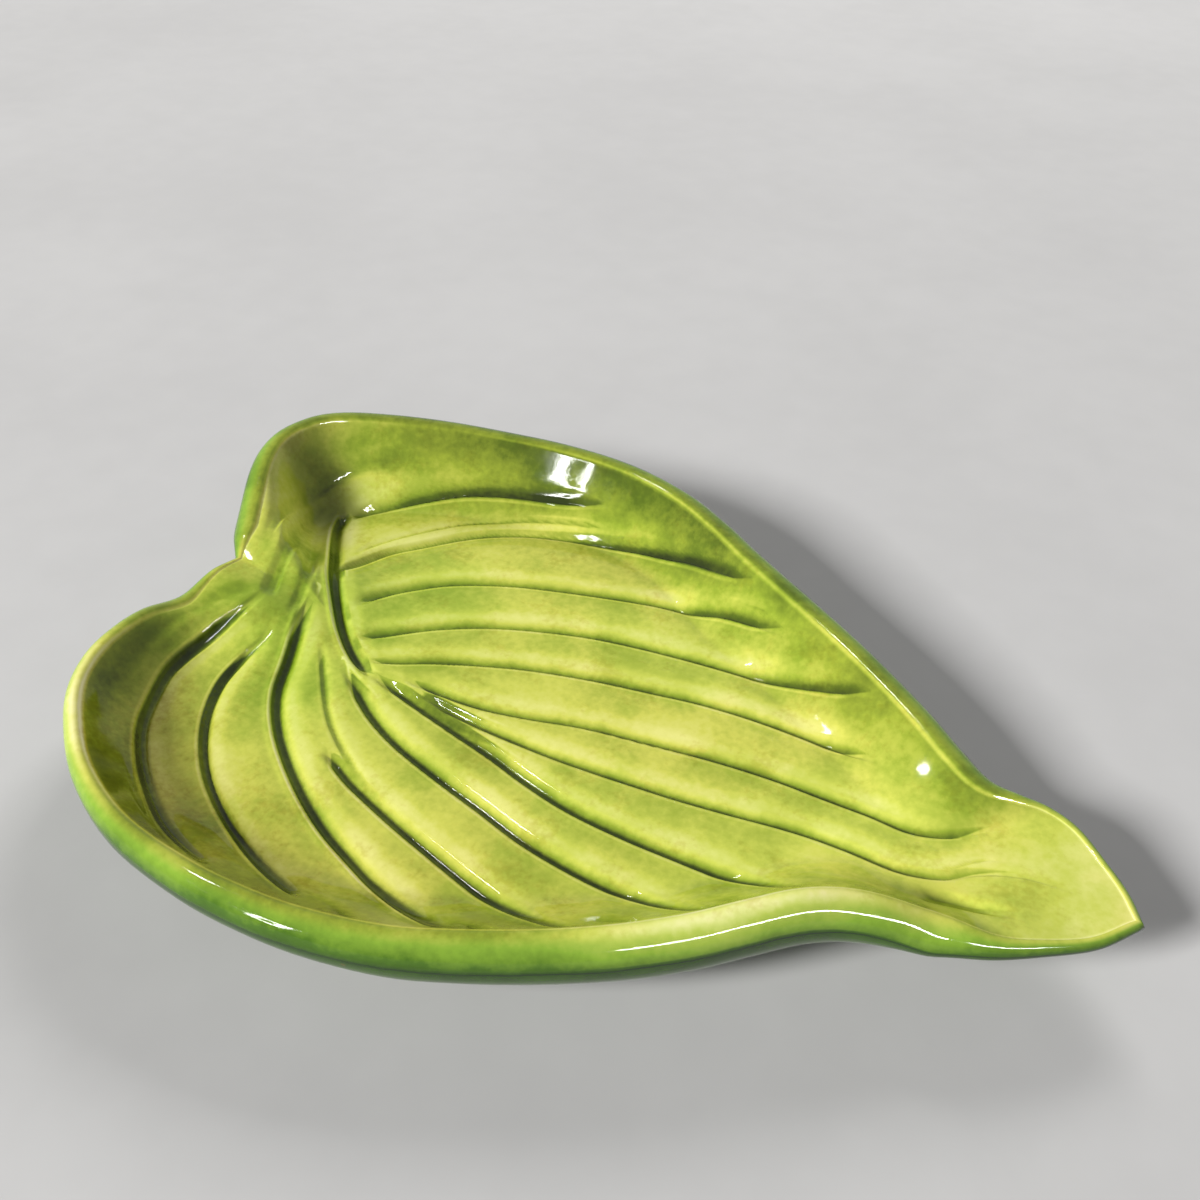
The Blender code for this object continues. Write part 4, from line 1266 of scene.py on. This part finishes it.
@dataclass(frozen=True)
class Lamp:
    """A rectangular lamp that looks at the dish, in degrees, metres and watts.

    Its azimuth is its direction seen from above, from +X towards +Y, and its height is above the
    horizon. The shift moves it within its own plane, sideways and up. A glint shows only in glossy
    reflections, and a lamp that isn't one shows in none.
    """

    name: str
    azimuth: float
    height: float
    away: float
    size: Point
    power: float
    shift: Point = (0.0, 0.0)
    is_glint: bool = False

    def build(self) -> None:
        """Puts the lamp in its place and turns it to the dish."""
        data = bpy.data.lights.new(self.name, "AREA")
        data.shape = "RECTANGLE"
        data.size, data.size_y = self.size
        data.energy = self.power
        lamp = place_in_scene(self.name, data)
        lamp.visible_diffuse = not self.is_glint
        lamp.visible_glossy = self.is_glint
        turn, lift = math.radians(self.azimuth), math.radians(self.height)
        way = Vector((math.cos(lift) * math.cos(turn), math.cos(lift) * math.sin(turn), math.sin(lift)))
        facing = (-way).to_track_quat("-Z", "Y")
        lamp.location = way * self.away + facing @ Vector((*self.shift, 0.0))
        lamp.rotation_euler = facing.to_euler()


@dataclass(frozen=True)
class Studio:
    """The plain pale floor, the lamps, the pale surroundings and the camera.

    The four frame lamps are bright strips round a dark middle, and show in the glaze as one square
    frame. The surroundings light the dish with their ambient share, while the camera and
    reflections see them in full.
    """

    floor_colour: Colour = (0.515, 0.509, 0.502)
    floor_cloud: float = 0.93
    floor_dust: Colour = (0.12, 0.11, 0.11)
    dust_share: float = 0.6
    floor_size: float = 3.0
    surroundings: Colour = (0.46, 0.455, 0.45)
    ambient_share: float = 0.04918
    lamps: tuple[Lamp, ...] = (
        Lamp("key_lamp", 238.0, 31.0, 2.8, (0.68, 0.68), 128.0),
        Lamp("back_softbox", 98.0, 34.0, 1.3, (0.6, 0.4), 10.8),
        Lamp("frame_top", 252.5, 26.0, 1.4, (0.20, 0.05), 1.8, (0.0, 0.135), is_glint=True),
        Lamp("frame_bottom", 252.5, 26.0, 1.4, (0.20, 0.05), 1.8, (0.0, -0.135), is_glint=True),
        Lamp("frame_left", 252.5, 26.0, 1.4, (0.05, 0.22), 1.98, (-0.075, 0.0), is_glint=True),
        Lamp("frame_right", 252.5, 26.0, 1.4, (0.05, 0.22), 1.98, (0.075, 0.0), is_glint=True),
        Lamp("wave_glint", 326.0, 39.5, 0.8, (0.5, 0.065), 5.85, is_glint=True),
        Lamp("left_glint", 192.0, 59.0, 0.9, (0.06, 0.06), 0.648, is_glint=True),
    )
    camera_place: tuple[float, float, float] = (0.05421, -0.09412, 0.1195)
    camera_heading: tuple[float, float] = (-0.4818, 0.8763)
    camera_pitch: float = 40.0
    lens: float = 36.0
    sensor: float = 36.0

    def build_floor(self, patterns: Patterns) -> None:
        """A wide pale sheet with the faintest clouds, grain and dust."""
        pen, shader, material = start_material("pale_floor")
        cloud = pen.group(patterns.cloudy, scale=14.0, grain=0.3)
        darker = tuple(self.floor_cloud * part for part in self.floor_colour)
        colour = pen.mix(cloud, self.floor_colour, darker)
        dust = pen.group(patterns.specks, scale=60.0, size=0.03, amount=0.05)
        colour = pen.mix(pen.times(dust, self.dust_share), colour, self.floor_dust)
        pen.feed(shader.inputs["Base Color"], colour)
        shader.inputs["Roughness"].default_value = 0.75
        mesh = bmesh.new()
        bmesh.ops.create_grid(mesh, x_segments=1, y_segments=1, size=self.floor_size / 2)
        data = bpy.data.meshes.new("pale_floor")
        mesh.to_mesh(data)
        mesh.free()
        data.materials.append(material)
        floor = place_in_scene("pale_floor", data)

    def build_light(self) -> None:
        """A key lamp left of the camera, a soft one behind the dish, small glints and pale surroundings."""
        for lamp in self.lamps:
            lamp.build()
        world = bpy.data.worlds.new("pale_surroundings")
        world.use_nodes = True
        bpy.context.scene.world = world
        pen = Pen(world.node_tree)
        back = world.node_tree.nodes["Background"]
        path = pen.node("ShaderNodeLightPath")
        seen = pen.math("MAXIMUM", path.outputs["Is Camera Ray"], path.outputs["Is Glossy Ray"])
        seen = pen.math("MAXIMUM", seen, path.outputs["Is Transmission Ray"])
        pen.feed(back.inputs["Color"], self.surroundings)
        strength = pen.plus(pen.times(seen, 1.0 - self.ambient_share), self.ambient_share)
        pen.feed(back.inputs["Strength"], strength)

    def build_camera(self) -> None:
        """The camera at the photograph's viewing angle."""
        data = bpy.data.cameras.new("camera")
        data.lens = self.lens
        data.sensor_width = self.sensor
        camera = place_in_scene("camera", data)
        pitch = math.radians(self.camera_pitch)
        heading = Vector((*self.camera_heading, 0.0)).normalized()
        look = heading * math.cos(pitch) - Vector((0.0, 0.0, math.sin(pitch)))
        camera.location = self.camera_place
        camera.rotation_euler = look.to_track_quat("-Z", "Y").to_euler()
        bpy.context.scene.camera = camera


def main() -> None:
    """Builds the dish and its studio."""
    logging.basicConfig(level=logging.INFO, format="%(message)s")
    bpy.context.scene.view_settings.view_transform = "Standard"
    patterns = Patterns(cloudy=cloudy_group(), specks=specks_group())
    GlazedLeaf(LeafShape(), GlazeFlow()).build(GreenGlaze().material(patterns))
    rubber = ClearRubber().material(patterns)
    for node in ("foot_pad_low_lobe", "foot_pad_tall_lobe", "foot_pad_tip"):
        StickOnPad(node).build(rubber)
    studio = Studio()
    studio.build_floor(patterns)
    studio.build_light()
    studio.build_camera()


if __name__ == "__main__":
    main()
